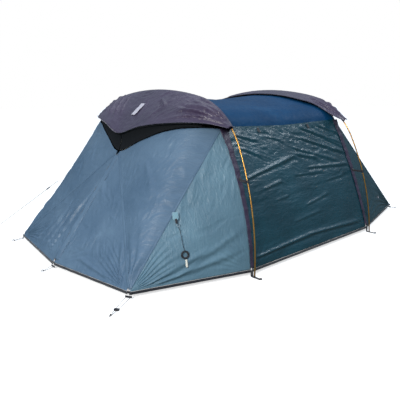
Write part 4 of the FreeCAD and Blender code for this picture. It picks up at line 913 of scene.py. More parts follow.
def makePorchSide(side, name):
    shares = np.linspace(0, 1, 96)
    edge = legEdge(True, shares, side, -tent["setback"])
    corner = flipped(frontCorner, side)
    points = bentFan(corner, edge, 104, True, seamLine(side))
    foot, high = edge[-1], edge[0]
    sideways = unit(foot - corner)
    upwards = (high - corner) - sideways * np.dot(high - corner, sideways)
    uv = planeUv(points, corner, sideways, upwards)
    u, v = uv[..., 0], uv[..., 1]
    relief = ridges(u, v, sideFolds[side])
    seed = 5 if side > 0 else 15
    relief = relief + fanFolds(u, v, (0.0, 0.0), (3, 50), 7, 0.50, 0.0030, seed)
    relief += fanFolds(u, v, (0.878, 0.0), (100, 176), 8, 0.45, 0.0028, seed + 1)
    relief += fanFolds(u, v, (float(planeUv(high[None], corner, sideways, upwards)[0, 0]), 1.02), (228, 268), 5,
                       0.50, 0.0042, seed + 2)
    relief += puckers(u, v, 16, 0.20, 0.035, 0.0034, seed + 3, 0.6)
    relief += puckers(u, v, 72, 0.14, 0.024, 0.0055, seed + 4, 0.8) * smooth(v, 0.30, 0.60)
    rows, columns = gridShares(points)
    relief *= easedSides(columns, 0.05, 0.94, 0.9)
    relief *= 1 - smooth(rows, 0.96, 1.0) * 0.85
    cloth = clothSheet("porchSide_" + name, points, uv, relief, (side, -0.3, 0.1), finish["paintedLitPorchSideCloth"])
    place(cloth, "tent", "fly_cloth")
    return cloth


panelFolds = {
    1: [((0.05, 0.03), (0.18, 0.42), 0.016, 0.007), ((0.60, 0.86), (0.34, 0.60), 0.018, 0.006)],
    -1: [((0.05, 0.03), (0.20, 0.40), 0.016, 0.007), ((0.60, 0.86), (0.30, 0.58), 0.018, 0.007)],
}


def makeFrontPanel(side, name):
    x = np.linspace(0.006, 0.735, 84)
    edge = flipped(stationLine(frontSill, x, True), side)
    corner = flipped(frontCorner, side)
    edge = corner[None] + (edge - corner[None]) * 0.994
    points = bentFan(corner, edge, 112, False, seamLine(side))
    sideways = unit((doorTop - corner) * (1, 1, 0))
    uv = planeUv(points, corner, sideways, (0, 0.45, 0.9))
    u, v = uv[..., 0], uv[..., 1]
    relief = ridges(u, v, panelFolds[side])
    seed = 71 if side > 0 else 81
    relief = relief + fanFolds(u, v, (0.0, 0.0), (40, 88), 6, 0.60, 0.0040, seed)
    relief += puckers(u, v, 76, 0.13, 0.022, 0.0070, seed + 1, 0.8)
    relief += puckers(u, v, 4, 0.14, 0.022, 0.0022, seed + 2, 0.7)
    rows, columns = gridShares(points)
    relief *= easedSides(columns, 0.06, 0.93, 0.9)
    relief *= 1 - smooth(rows, 0.95, 1.0) * 0.8
    cloth = clothSheet("frontPanel_" + name, points, uv, relief, (0.2 * side, -1, 0.4), finish["paintedLitPorchCloth"])
    place(cloth, "tent", "fly_cloth")
    return cloth


for side, label in sides:
    sideCloth = makePorchSide(side, label.lower())
    frontCloth = makeFrontPanel(side, label.lower())
    if side > 0:
        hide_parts("porch_sides")
        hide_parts("front_panels")


def leafFrame(side):
    # a door leaf's own corners: zip top, hem centre and hem corner, clear of its frame
    corner = flipped(frontCorner, side)
    hinge = unit(corner - doorTop)
    beside = np.array((side * 0.006, 0, 0))
    top = doorTop + beside + unit(doorFoot - doorTop) * 0.018 + hinge * 0.003
    return top, doorFoot + beside, corner + unit(doorFoot - corner) * 0.009 - hinge * 0.003


leafFolds = {
    1: [((0.10, 0.03), (0.24, 0.30), 0.014, 0.007), ((0.70, 0.10), (0.46, 0.30), 0.018, 0.006),
        ((0.20, 0.03), (0.62, 0.10), 0.014, 0.006), ((0.78, 0.80), (0.62, 0.52), 0.018, 0.005)],
    -1: [((0.62, 0.04), (0.70, 0.56), 0.016, 0.013), ((0.52, 0.04), (0.58, 0.46), 0.014, 0.012),
         ((0.42, 0.04), (0.50, 0.40), 0.014, 0.011), ((0.74, 0.06), (0.78, 0.46), 0.013, 0.010),
         ((0.30, 0.03), (0.40, 0.32), 0.013, 0.009), ((0.66, 0.30), (0.74, 0.80), 0.013, 0.008)],
}


def makeDoorLeaf(side, name):
    top, foot, corner = leafFrame(side)
    share = np.linspace(0, 1, 100)[:, None]
    edge = top[None] * (1 - share) + foot[None] * share
    points = fanPoints(corner, edge, 104)
    normal = unit(np.cross(top - corner, foot - corner)) * (-1 if side > 0 else 1)
    if normal[1] > 0:
        normal = -normal
    uv = planeUv(points, corner, foot - corner, np.cross(unit(foot - corner), normal) * side * -1)
    if uv[..., 1].mean() < 0:
        uv[..., 1] *= -1
    u, v = uv[..., 0], uv[..., 1]
    relief = ridges(u, v, leafFolds[side])
    seed = 91 if side > 0 else 101
    relief = relief + fanFolds(u, v, (0.0, 0.0), (4, 44), 7, 0.50, 0.0030, seed)
    relief += fanFolds(u, v, (0.80, 0.0), (92, 168), 8, 0.45, 0.0036, seed + 1)
    relief += puckers(u, v, 80, 0.15, 0.030, 0.0080, seed + 2, 0.7) * (1 - smooth(v, 0.40, 0.80))
    relief += puckers(u, v, 20, 0.10, 0.028, 0.0034, seed + 3, 0.7)
    relief += puckers(u, v, 0, 0.16, 0.018, 0.0026, seed + 4, 0.8) * (1 - smooth(v, 0.02, 0.16))
    rows, columns = gridShares(points)
    relief *= easedSides(columns, 0.06, 0.95, 0.85)
    relief *= (1 - smooth(rows, 0.95, 1.0) * 0.9) * (0.2 + 0.8 * smooth(rows, 0.02, 0.12))
    cloth = clothSheet("doorLeaf_" + name, points, uv, relief, (0, -1, 0.5), finish["paintedLitPorchCloth"])
    place(cloth, "door_" + name, "fly_cloth", "door_leaf_" + name)


for side, label in sides:
    makeDoorLeaf(side, label.lower())


def makeRearPanel():
    across = np.linspace(-1, 1, 150)
    top = stationLine(rearSill, across * 0.735, False)
    hemX = across * rearCorner[0]
    hemY = rearCentre[1] + (rearCorner[1] - rearCentre[1]) * np.abs(across)
    bottom = np.stack([hemX, hemY, np.full(len(across), rearCentre[2])], -1)
    share = np.linspace(0, 1, 120)[:, None, None]
    points = bottom[None] * (1 - share) + top[None] * share
    points[..., 1] -= 0.030 * 4 * (share * (1 - share))[..., 0] * (0.3 + 0.7 * np.abs(across)[None])
    uv = np.stack([points[..., 0], np.broadcast_to(share[..., 0] * 1.22, points.shape[:2])], -1)
    u, v = uv[..., 0], uv[..., 1]
    relief = fanFolds(u, v, (0.81, 0.0), (95, 172), 8, 0.7, 0.005, 111)
    relief += fanFolds(u, v, (-0.81, 0.0), (8, 85), 8, 0.7, 0.005, 113)
    relief += puckers(u, v, 80, 0.25, 0.05, 0.004, 115, 0.4) + puckers(u, v, 10, 0.14, 0.025, 0.0024, 117, 0.8)
    relief *= (0.1 + 0.9 * smooth(1 - np.abs(across), 0.0, 0.06))[None]
    cloth = clothSheet("rearPanel", points, uv, relief, (0, 1, 0.5), finish["paintedShadeFlyCloth"])
    place(cloth, "tent", "fly_cloth", "rear_panel")


def makeRearSide(side, name):
    edge = legEdge(False, np.linspace(0, 1, 80), side, tent["setback"])
    corner = flipped(rearCorner, side)
    points = fanPoints(corner, edge, 96)
    foot, high = edge[-1], edge[0]
    sideways = unit(foot - corner)
    uv = planeUv(points, corner, sideways, (high - corner) - sideways * np.dot(high - corner, sideways))
    u, v = uv[..., 0], uv[..., 1]
    relief = fanFolds(u, v, (0.0, 0.0), (3, 42), 6, 0.7, 0.005, 121 + side)
    relief += fanFolds(u, v, (1.0, 0.0), (98, 176), 7, 0.6, 0.005, 125 + side)
    relief += puckers(u, v, 20, 0.2, 0.035, 0.0034, 129 + side, 0.6)
    relief *= easedSides(gridShares(points)[1], 0.05, 0.94, 0.9)
    cloth = clothSheet("rearSide_" + name, points, uv, relief, (side, 0.3, 0.1), finish["paintedShadeFlyCloth"])
    place(cloth, "tent", "fly_cloth")
    return cloth


makeRearPanel()
for side, label in sides:
    rearCloth = makeRearSide(side, label.lower())
    if side > 0:
        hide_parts("rear_sides")
print("porch and rear panels hung")

# ---- hoods over both hoops, with nets in the vents under their lips

hoodFolds = {
    "front": [((-0.56, 0.33), (-0.30, 0.05), 0.017, 0.017), ((-0.44, 0.34), (-0.22, 0.08), 0.015, 0.016),
              ((-0.33, 0.35), (-0.14, 0.10), 0.015, 0.014), ((-0.62, 0.24), (-0.44, 0.05), 0.015, 0.010),
              ((0.02, 0.36), (0.10, 0.10), 0.015, 0.009), ((0.16, 0.34), (0.30, 0.20), 0.014, 0.009),
              ((0.30, 0.32), (0.22, 0.05), 0.016, 0.006), ((0.80, 0.03), (0.40, 0.17), 0.014, 0.014),
              ((0.82, 0.07), (0.46, 0.27), 0.014, 0.014), ((0.82, 0.02), (0.50, 0.07), 0.012, 0.011),
              ((0.80, 0.14), (0.50, 0.34), 0.014, 0.011)],
    "rear": [((0.80, 0.20), (0.46, 0.10), 0.018, 0.012), ((0.78, 0.34), (0.40, 0.30), 0.018, 0.011),
             ((-0.80, 0.20), (-0.46, 0.10), 0.018, 0.010), ((-0.30, 0.40), (-0.20, 0.05), 0.016, 0.010),
             ((-0.26, 0.40), (-0.12, 0.05), 0.016, 0.009), ((0.20, 0.38), (0.12, 0.05), 0.018, 0.008)],
}


def hoodRows(front, x):
    # lines of the hood's cloth from its lower or front edge, over the pole sleeve, to its far edge
    over = np.array([poleHeight(value, 0.018) for value in x])
    crest = onHoop(front, x, over)
    if front:
        lip = stationLine(frontLip, x, True)
        inward = np.clip(np.abs(x) / 0.848, 0, 1)
        seatX = x * (0.985 - 0.095 * smooth(inward, 0.70, 1.0))
        shares = np.linspace(0, bodyShares[1] + 0.09, 400)
        px, pz = bodyProfile(shares, tent["eaveX"], tent["eaveZ"], tent["crownZ"], tent["bulge"][0])
        seatLine = onHoop(True, seatX, np.interp(np.abs(seatX), px, pz) + 0.004, 0.052)
        shoulder = onHoop(True, (x + seatX) / 2, over - 0.010, 0.014)
        return [lip, crest, shoulder, seatLine]
    brim = stationLine([(s[0], -s[1], s[2]) for s in rearBrim], x * 0.852 / 0.848, False)
    lip = stationLine(rearLip, x, False)
    return [brim, crest, lip]


def makeHood(front):
    x = np.linspace(-0.846, 0.846, 190)
    lines = hoodRows(front, x)
    if front:
        spans = [(0, 1, 46, 0.012), (1, 2, 6, 0.0), (2, 3, 8, 0.0)]
    else:
        spans = [(0, 1, 40, -0.006), (1, 2, 40, 0.010)]
    rows, flat, run = [], [], np.zeros(len(x))
    for a, b, count, rise in spans:
        for share in np.linspace(0, 1, count, endpoint=False):
            line = lines[a] * (1 - share) + lines[b] * share
            rows.append(line + (0, 0, rise * 4 * share * (1 - share)))
            flat.append(run + share * np.linalg.norm(lines[b] - lines[a], axis=1))
        run = run + np.linalg.norm(lines[b] - lines[a], axis=1)
    rows.append(lines[-1])
    flat.append(run)
    points, along = np.array(rows), np.array(flat)
    u = np.broadcast_to(x[None], along.shape)
    uv = np.stack([u, along], -1)
    name = "front" if front else "rear"
    relief = ridges(u, along, hoodFolds[name])
    seed = 131 if front else 141
    relief = relief + fanFolds(u, along, (0.85, 0.04), (120, 200), 7, 0.5, 0.0075, seed)
    relief += fanFolds(u, along, (-0.85, 0.04), (-20, 60), 7, 0.5, 0.0035, seed + 1)
    relief += puckers(u, along, 70, 0.16, 0.034, 0.0070, seed + 2, 0.7)
    relief += puckers(u, along, 12, 0.12, 0.026, 0.0044, seed + 3, 0.8)
    pole = np.linalg.norm(lines[1] - lines[0], axis=1)[None]
    relief *= 0.10 + 0.90 * np.clip(np.abs(along - pole) / 0.05, 0, 1)   # tight where it lies on the sleeve
    relief *= 0.25 + 0.75 * smooth(along, 0.0, 0.03)
    relief *= 1 - (0.35 if front else 0.8) * smooth(np.abs(u), 0.62, 0.84)
    relief *= 1 - (0.75 if front else 0.0) * smooth(-u, 0.60, 0.80)
    hood = clothSheet(name + "Hood", points, uv, relief, lambda p: p, finish["hoodCloth"], 0.001)
    place(hood, "tent", "hood_cloth", name + "_hood")
    # the folded edge of the lip, and the brim, bound with tape
    for label, line, out in (("Lip", lines[0] if front else lines[-1], (0, -1, 0.2) if front else (0, 1, 0.2)),
                             ("Brim", lines[-1] if front else lines[0], (0, 1, 0.6) if front else (0, -1, 0.6))):
        path = resampled(line, 0.012) + np.array((0, 0, -0.001))
        across = np.gradient(path, axis=0)
        across = np.cross(across, np.cross(across, np.asarray(out, float)))
        edging = ribbon(name + label + "Binding", path, across, 0.014, 0.0028, finish["sleeveBinding"])
        place(edging, "tent", "hood_cloth")


for front, end in ends:
    makeHood(front)


def makeVentNet(front, side, name):
    x = np.linspace(0.004, 0.66, 60)
    back = -0.022 if not front else 0.022
    sill = flipped(stationLine(frontSill if front else rearSill, x, front, 0.002), side)
    lip = flipped(stationLine(frontLip if front else rearLip, x, front, -0.004, back), side)
    share = np.linspace(0, 1, 22)[:, None, None]
    points = sill[None] * (1 - share) + lip[None] * share
    uv = np.stack(np.broadcast_arrays(x[None], share[..., 0] * 0.13), -1)
    relief = -0.012 * 4 * share[..., 0] * (1 - share[..., 0]) * np.ones_like(uv[..., 0])
    relief = relief + puckers(uv[..., 0], uv[..., 1], 80, 0.06, 0.03, 0.003, 151 + side, 0.4)
    net = clothSheet(name, points, uv, relief, (0, -1 if front else 1, 0.1), finish["net"])
    place(net, "tent", "mesh")
    return net


ventNets = [makeVentNet(front, side, end + "VentNet" + label) for front, end in ends for side, label in sides]
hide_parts("vent_meshes")


def makeBrowPatch():
    # plain woven patch folded over the hood's centre line
    across = np.linspace(-0.025, 0.025, 22)
    lines = hoodRows(True, across)
    share = np.linspace(0.36, 0.62, 16)[:, None, None]
    points = lines[0][None] * (1 - share) + lines[1][None] * share
    points = points + np.array((0, -0.2, 1.0)) * 0.0125 * 4 * share * (1 - share) + np.array((0, -0.002, 0.003))
    uv = np.stack(np.broadcast_arrays(across[None], share[..., 0] * 0.46), -1)
    relief = 0.0006 * np.sin(uv[..., 1] * 120) * np.ones_like(uv[..., 0])
    patch = clothSheet("browPatch", points, uv, relief, (0, -0.5, 1), finish["patchCloth"], 0.0016)
    place(patch, "tent", "patch", "brow_patch")


makeBrowPatch()
print("hoods and nets sewn")

# ---- leg bands, seams, hems and stitching

hemHeight, hemDrop = 0.020, 0.002
bandWidths = {True: (0.086, 0.052, 0.042, 0.032), False: (0.060, 0.052, 0.042, 0.032)}   # front or not, eave to hem


def makeLegBand(front, side, name):
    share = np.linspace(0.0, 0.985, 110)
    path = legEdge(front, share, side, 0.0, 0.0065)
    widths = np.interp(share, (0, 0.14, 0.5, 1), bandWidths[front])
    lean = unit(onHoop(front, 0.0, 0.0, 1.0) - onHoop(front, 0.0, 0.0))
    wave = 0.0016 * np.sin(share * 46 + side) + 0.0012 * np.sin(share * 91)
    path = path + np.array((side, 0, 0)) * wave[:, None]
    band = ribbon(name, path, lean, 0.05, 0.0022, finish["hoodCloth"], widths)
    return place(band, "tent", "hood_cloth")


bands = [makeLegBand(front, side, end + "LegBand" + label) for front, end in ends for side, label in sides]
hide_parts("leg_bands")
stitchPlan = {"tent": [], "door_right": [], "door_left": []}
for front, end in ends:
    for side, label in sides:
        for shift in (-0.014, 0.014):
            line = legEdge(front, np.linspace(0.04, 0.97, 60), side, shift, 0.0077)
            stitchPlan["tent"].append((line, (side, 0, 0)))


def seamTape(name, path, across, width, body, material="paintedLitPorchCloth"):
    tape = ribbon(name, resampled(path, 0.014), across, width, 0.0022, finish[material])
    return place(tape, body, "fly_cloth")


for side, label in sides:
    seam = seamLine(side)
    out = unit((side * 0.75, -0.65, 0.15))
    seam = seam + out * 0.0018
    seamAcross = np.cross(unit(seam[-1] - seam[0]), out)
    seamTape("porchSeam" + label, seam[1:-1], seamAcross, 0.013, "tent")
    for shift in (-0.0045, 0.0045):
        stitchPlan["tent"].append((seam[2:-2] + unit(seamAcross) * shift, out))
    corner = flipped(frontCorner, side)
    line = np.linspace(doorTop, corner, 50)
    normal = unit((side * 0.10, -0.85, 0.55))
    across = np.cross(unit(line[-1] - line[0]), normal)
    panelWay = unit(across) * np.sign(np.dot(across, (side, 0, 1)))
    line = line + normal * 0.0016 + panelWay * 0.001
    # the folding seam: in the tent half of it goes with the leaf, half stays with the panel; here one tape lies over
    # the hinge line, baked in place and attached to neither body
    hinge = ribbon("doorFrameSeam" + label, resampled(line[1:-1], 0.014), across, 0.021, 0.0016,
                   finish["paintedLitPorchCloth"])
    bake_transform(hinge)
    stitchPlan["tent"].append((line[2:-2] + panelWay * 0.006, normal))
    rear = flipped(rearCorner, side)
    high = legEdge(False, np.array([0.0]), side, tent["setback"])[0]
    rearOut = unit((side * 0.6, 0.75, 0.2))
    rearLine = np.linspace(rear, high, 50) + rearOut * 0.0018
    seamTape("rearSeam" + label, rearLine[1:-1], np.cross(unit(high - rear), rearOut), 0.013, "tent", "paintedShadeFlyCloth")
    stitchPlan["tent"].append((rearLine[2:-2], rearOut))


hemTrim, hemSway = 0.004, 0.0018   # how far a hem stops short of its corners, and how far it strays sideways


def hemPath(start, end, seed):
    line = resampled(np.array([start, end], float), 0.02)
    away = unit(np.asarray(end, float) - start)
    out = np.array((away[1], -away[0], 0))
    swing = np.array([noise.noise((i * 0.35, seed, 0.0)) for i in range(len(line))]) * hemSway
    ease = np.minimum(np.linspace(0, 1, len(line)), np.linspace(1, 0, len(line))) * 6
    line = line + out[None] * (swing * np.clip(ease, 0, 1))[:, None]
    line[0] += away * hemTrim
    line[-1] -= away * hemTrim
    return line


def hemRun(name, start, end, body, seed):
    path = hemPath(start, end, seed)
    path[:, 2] -= hemDrop + hemHeight / 2
    away = unit(np.asarray(end, float) - start)
    out = np.array((away[1], -away[0], 0.0))
    if np.dot(out, (np.asarray(start, float) + end) / 2) < 0:
        out = -out
    hem = ribbon(name, path, (0, 0, 1), hemHeight, 0.0034, finish["binding"])
    place(hem, body, "webbing")
    for rise in (-0.0065, 0.0065):
        stitchPlan[body].append((path[1:-1] + np.array((0, 0, rise)) + out * 0.0018, out))
    return hem


for side, label in sides:
    front, rear = flipped(frontCorner, side), flipped(rearCorner, side)
    footFront, footRear = (np.array((side * tent["hemX"], y, tent["hemZ"])) for y in (-0.783, 0.7795))
    for piece, start, end, seed in (("porchHem", front, footFront, 1), ("wallHem", footFront, footRear, 4),
                                    ("rearSideHem", footRear, rear, 7), ("rearHem", rear, rearCentre, 10)):
        hemRun(piece + label, start, end, "tent", seed + side)
    top, foot, leafCorner = leafFrame(side)
    leafHem = hemRun("leafHem" + label, foot, leafCorner, "door_" + label.lower(), 13 + side)
    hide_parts("door_hem_" + label.lower())
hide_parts("hem_binding")


# ---- door zip: two toothed tapes, a flap over them and a slider

zipShape = {"start": 0.036, "end": 0.946, "pitch": 0.0042, "tape": 0.012}


def onLeaf(side, down, across, out):
    # a place on a leaf's zip edge: down it, across the leaf, and out from the cloth
    edge = unit(doorFoot - doorTop)
    normal = unit(np.cross(flipped(frontCorner, side) - doorTop, doorFoot - doorTop))
    if normal[1] > 0:
        normal = -normal
    sideways = np.cross(edge, normal)
    if sideways[0] * side < 0:
        sideways = -sideways
    return doorTop + edge * down + sideways * across + normal * out


def makeZipTeeth(side, name):
    # one row of coil teeth on the edge of its woven tape
    points, faces = [], []
    down = zipShape["start"]
    while down < zipShape["end"]:
        half, low, high = 0.0011, 0.0006, 0.0048
        base = len(points)
        for d in (down - half, down + half):
            for a, o in ((low, -0.0012), (high, -0.0014), (high + 0.0006, 0.0002), (high, 0.0017), (low, 0.0014)):
                points.append(onLeaf(side, d, a, o))
        faces += [(base + k, base + (k + 1) % 5, base + 5 + (k + 1) % 5, base + 5 + k) for k in range(5)]
        faces += [tuple(base + k for k in range(5)), tuple(base + 5 + k for k in range(5))[::-1]]
        down += zipShape["pitch"]
    teeth = facedOut(finishMesh("zipTeeth" + name, points, faces, finish["darkPlastic"], flatShade=True))
    line = np.array([onLeaf(side, d, 0.0095, 0.0008) for d in np.linspace(zipShape["start"], zipShape["end"], 90)])
    sideways = onLeaf(side, 0, 1, 0) - onLeaf(side, 0, 0, 0)
    tape = ribbon("zipTape" + name, line, sideways, zipShape["tape"], 0.0010, finish["zipTape"])
    place(tape, "door_" + name.lower(), "zip_tape")
    return place(teeth, "door_" + name.lower(), "zip_tape", "door_zip_" + name.lower())


for side, label in sides:
    makeZipTeeth(side, label)


def makeStormFlap():
    down = np.linspace(0.044, 0.936, 120)
    across = np.linspace(0.0012, 0.042, 10)
    rows = []
    for d in down:
        lift = 0.0095 + 0.0022 * math.sin(d * 31) + 0.0012 * math.sin(d * 67)
        rows.append([onLeaf(1, d, a, 0.0012 + lift * (1 - (a / 0.042)) ** 0.8) for a in across])
    points = np.array(rows)
    uv = np.stack(np.meshgrid(across, down), -1)
    relief = puckers(uv[..., 1], uv[..., 0], 90, 0.03, 0.02, 0.001, 161, 0.5)
    flap = clothSheet("stormFlap", points, uv, relief, (0, -1, 0.5), finish["paintedLitPorchCloth"], 0.0012)
    place(flap, "door_right", "fly_cloth", "storm_flap")
    edge = np.array([onLeaf(1, d, 0.038, 0.0032) for d in down])
    stitchPlan["door_right"].append((edge, onLeaf(1, 0, 0, 1) - onLeaf(1, 0, 0, 0)))


makeStormFlap()
# a guard strip behind the teeth, on the left leaf, and one behind each leaf's folding edge
down = np.linspace(0.040, 0.940, 60)
seamTape("zipGuard", np.array([onLeaf(-1, d, -0.004, -0.0045) for d in down]),
         onLeaf(1, 0, 1, 0) - onLeaf(1, 0, 0, 0), 0.030, "door_left")
for side, label in sides:
    corner = flipped(frontCorner, side)
    normal = unit(np.cross(corner - doorTop, doorFoot - doorTop) * side)
    normal = -normal if normal[1] > 0 else normal
    line = np.linspace(doorTop, corner, 50) - normal * 0.004
    seamTape("doorGuard" + label, line[2:-2], np.cross(unit(corner - doorTop), normal), 0.024, "tent")


# ---- straps, tabs and patches of webbing

def makeFootStrap(front, side, name):
    # from the hem down, out under the pole's foot and on to its peg, with the pole's foot on it
    y = tent["frontY"] if front else tent["rearY"]
    path = [(1.0745, 0.046), (1.0748, 0.030), (1.0752, 0.014), (1.0765, 0.006), (1.0800, 0.0022), (1.0860, 0.0018),
            (1.0980, 0.0016), (1.1100, 0.0018), (1.1250, 0.0024), (1.1400, 0.0022), (1.1590, 0.0018)]
    line = resampled([(side * x, y, z) for x, z in path], 0.006)
    strap = ribbon(name, line, (0, 1, 0), 0.028, 0.0018, finish["webbing"])
    for shift in (-0.009, 0.009):
        upright = np.array([(side * 1.0764, y + shift, z) for z in (0.044, 0.030, 0.014)])
        stitchPlan["tent"].append((upright, (side, 0, 0)))
    return place(strap, "tent", "webbing")


straps = [makeFootStrap(front, side, end + "FootStrap" + label) for front, end in ends for side, label in sides]
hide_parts("foot_straps")

clipHeights = {True: 0.655, False: 0.560}   # front or not


def makeClipStrap(front, side, name):
    height = clipHeights[front]
    share = (tent["eaveZ"] - height) / (tent["eaveZ"] - tent["hemZ"])
    inner = legEdge(front, np.array([share]), side, 0.0, 0.006)[0]
    poleX = -0.960 + math.sqrt(2.060 ** 2 - height ** 2)
    outer = onHoop(front, side * (poleX - 0.0090), height)
    inner[1] = outer[1]
    path = resampled([inner - (side * 0.004, 0, 0), inner, (inner + outer) / 2 + (0, 0, -0.0008), outer], 0.004)
    up = onHoop(front, 0, 1) - onHoop(front, 0, 0)
    strap = ribbon(name, path, up + np.array((-side * 0.25, 0, 0)), 0.018, 0.0018, finish["webbing"])
    tack = np.array([inner + (side * 0.0015, 0, rise) for rise in (-0.016, -0.006, 0.006, 0.016)])
    base = ribbon(name + "Tack", tack, (0, 1, 0), 0.020, 0.0018, finish["webbing"])
    return place(joined(name, [strap, base]), "tent", "webbing")


clipStraps = [makeClipStrap(front, side, end + "ClipStrap" + label) for front, end in ends for side, label in sides]
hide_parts("clip_straps")

cornerTabs = {"FrontRight": ((0.806, -1.621), (0.49074, -0.87131)), "FrontCentre": ((0.0, -1.730), (0.0, -1.0)),
              "FrontLeft": ((-0.806, -1.621), (-0.49074, -0.87131)), "RearRight": ((0.806, 1.755), (0.45122, 0.89241)),
              "RearLeft": ((-0.806, 1.755), (-0.45122, 0.89241))}


def makeCornerTab(name, spot, out):
    # a folded tab under the hem corner, holding both ends of the corner's cord
    out = np.array((*out, 0.0))
    across = np.array((-out[1], out[0], 0.0))
    path = np.array([np.array((*spot, 0.0)) + across * a + out * (0.0032 + 0.0012 * math.cos(a * 60))
                     + np.array((0, 0, 0.0205)) for a in np.linspace(-0.0225, 0.0225, 16)])
    tab = ribbon("tab" + name, path, (0, 0, 1), 0.0145, 0.0036, finish["webbing"])
    triangle = np.array([np.array((*spot, 0.0)) - out * 0.001 + across * a + np.array((0, 0, z))
                         for a, z in ((-0.020, 0.040), (-0.008, 0.048), (0.008, 0.048), (0.020, 0.040))])
    cap = ribbon("cap" + name, triangle, (0, 0, 1), 0.016, 0.0030, finish["binding"])
    for a in (-0.016, 0.016):
        centre = np.array((*spot, 0.0)) + across * a + out * 0.0052
        stitchPlan["tent"].append((np.array([centre + np.array((0, 0, z)) for z in (0.015, 0.020, 0.026)]), out))
    return place(joined("cornerTab" + name, [tab, cap]), "tent", "webbing")


tabs = [makeCornerTab(name, spot, out) for name, (spot, out) in cornerTabs.items()]
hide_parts("corner_tabs")


def makeEaveTab(y, side, name):
    # a small bow of tape sewn under the eave: a loop with two short tails
    t = (y - tent["frontY"]) / (tent["rearY"] - tent["frontY"])
    spots = bodyPoints(np.array([side * (bodyShares[1] + s * (1 - bodyShares[1])) for s in (0.004, 0.028, 0.046)]),
                       np.full(3, t))
    out = np.array((side * 0.0045, 0, 0))
    pieces = []
    for k, (lean, reach) in enumerate(((0.010, 0), (-0.011, 1), (0.0, 0))):
        line = np.array([spots[0] + out * 0.8, spots[0] + out * 1.5 + (0, lean * 0.6, -0.004),
                         spots[1] + out + (0, lean, 0), spots[2] + out * 0.8 + (0, lean * (1.2 - reach * 0.5), 0.004)])
        pieces.append(ribbon(name + str(k), resampled(line, 0.005), (0, 1, 0.1 * k), 0.007, 0.0016,
                             finish["binding"]))
    return place(joined(name, pieces), "tent", "webbing")


ties = [makeEaveTab(y, side, "eaveTie" + spot + label) for y, spot in ((-0.368, "Front"), (0.341, "Rear"))
        for side, label in sides]
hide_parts("fly_tabs")
for side, label in sides:
    corner = flipped(rearCorner, side)
    thirds = legEdge(False, np.array([1 / 3, 2 / 3]), side, tent["setback"])
    spot = corner * 0.62 + thirds[1] * 0.30 + thirds[0] * 0.08
    out = np.cross(thirds[0] - corner, thirds[1] - corner)
    out = unit(out * np.sign(out[0] * side))
    down = downhill(out)
    line = np.array([spot + out * 0.003 + down * d for d in np.linspace(-0.011, 0.011, 6)])
    flag = ribbon("rearTab" + label, line, np.cross(down, out), 0.010, 0.0018, finish["patchCloth"])
    place(flag, "tent", "webbing")


stormPanel = {"corner": 0.545, "out": (0.8043, -0.4081, 0.4319), "height": 0.458, "gap": 0.0035}


def stormSpot(side):
    # the storm guy's place on the porch side panel, and the way the panel faces there
    near, corner = stormPanel["corner"], flipped(frontCorner, side)
    wanted = (stormPanel["height"] - near * corner[2]) / (1 - near)
    edge = legEdge(True, np.linspace(0, 1, 400), side, -tent["setback"])
    point = edge[np.argmin(np.abs(edge[:, 2] - wanted))]
    out = unit(flipped(stormPanel["out"], side))
    return corner * near + point * (1 - near) + out * stormPanel["gap"], out


def makeStormPatch(side, name):
    spot, out = stormSpot(side)
    down = downhill(out)
    over = np.cross(out, down)
    line = np.array([spot + down * d for d in np.linspace(-0.026, 0.026, 12)])
    patch = ribbon("patch" + name, line, over, 0.042, 0.0020, finish["tealWebbing"],
                   [0.034, 0.040] + [0.042] * 7 + [0.040, 0.036, 0.026])
    loopLine = np.array([spot + down * (0.018 + a) + out * (0.0018 + b) for a, b in
                         ((0.0, 0.0), (0.012, 0.0004), (0.026, 0.0012), (0.034, 0.0022), (0.030, 0.0044),
                          (0.014, 0.0034), (0.002, 0.0022))])
    loop = ribbon("loop" + name, resampled(loopLine, 0.004), over, 0.014, 0.0014, finish["webbing"])
    upright = [[(a, d) for d in (-0.021, 0.0, 0.020)] for a in (-0.016, 0.016)]
    level = [[(a, d) for a in (-0.015, 0.0, 0.015)] for d in (-0.021, 0.012)]
    for row in upright + level:
        stitchPlan["tent"].append((np.array([spot + over * a + down * d + out * 0.0011 for a, d in row]), out))
    return place(joined("stormPatch" + name, [patch, loop]), "tent", "webbing")


stormPatches = [makeStormPatch(side, label) for side, label in sides]
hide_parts("storm_patches")
print("webbing sewn on")

# ---- small hard pieces, each shaped from a primitive in edit mode


def startPiece(name, kind, **size):
    bpy.ops.object.select_all(action="DESELECT")
    getattr(bpy.ops.mesh, "primitive_" + kind + "_add")(**size)
    piece = bpy.context.object
    piece.name = piece.data.name = name
    return piece


def pickFaces(piece, test):
    # selects the faces whose centre and normal pass the test, in edit mode
    bpy.ops.object.mode_set(mode="EDIT")
    bpy.ops.mesh.select_mode(type="FACE")
    bpy.ops.mesh.select_all(action="DESELECT")
    work = bmesh.from_edit_mesh(piece.data)
    for face in work.faces:
        face.select = bool(test(face.calc_center_median(), face.normal))
    bmesh.update_edit_mesh(piece.data)


def endEdit():
    bpy.ops.object.mode_set(mode="OBJECT")


def reshape(piece, cuts, move):
    # divides every face of the piece, then moves each of its points
    bpy.ops.object.mode_set(mode="EDIT")
    bpy.ops.mesh.select_all(action="SELECT")
    bpy.ops.mesh.subdivide(number_cuts=cuts, smoothness=0)
    work = bmesh.from_edit_mesh(piece.data)
    for corner in work.verts:
        move(corner.co)
    bmesh.update_edit_mesh(piece.data)
    endEdit()


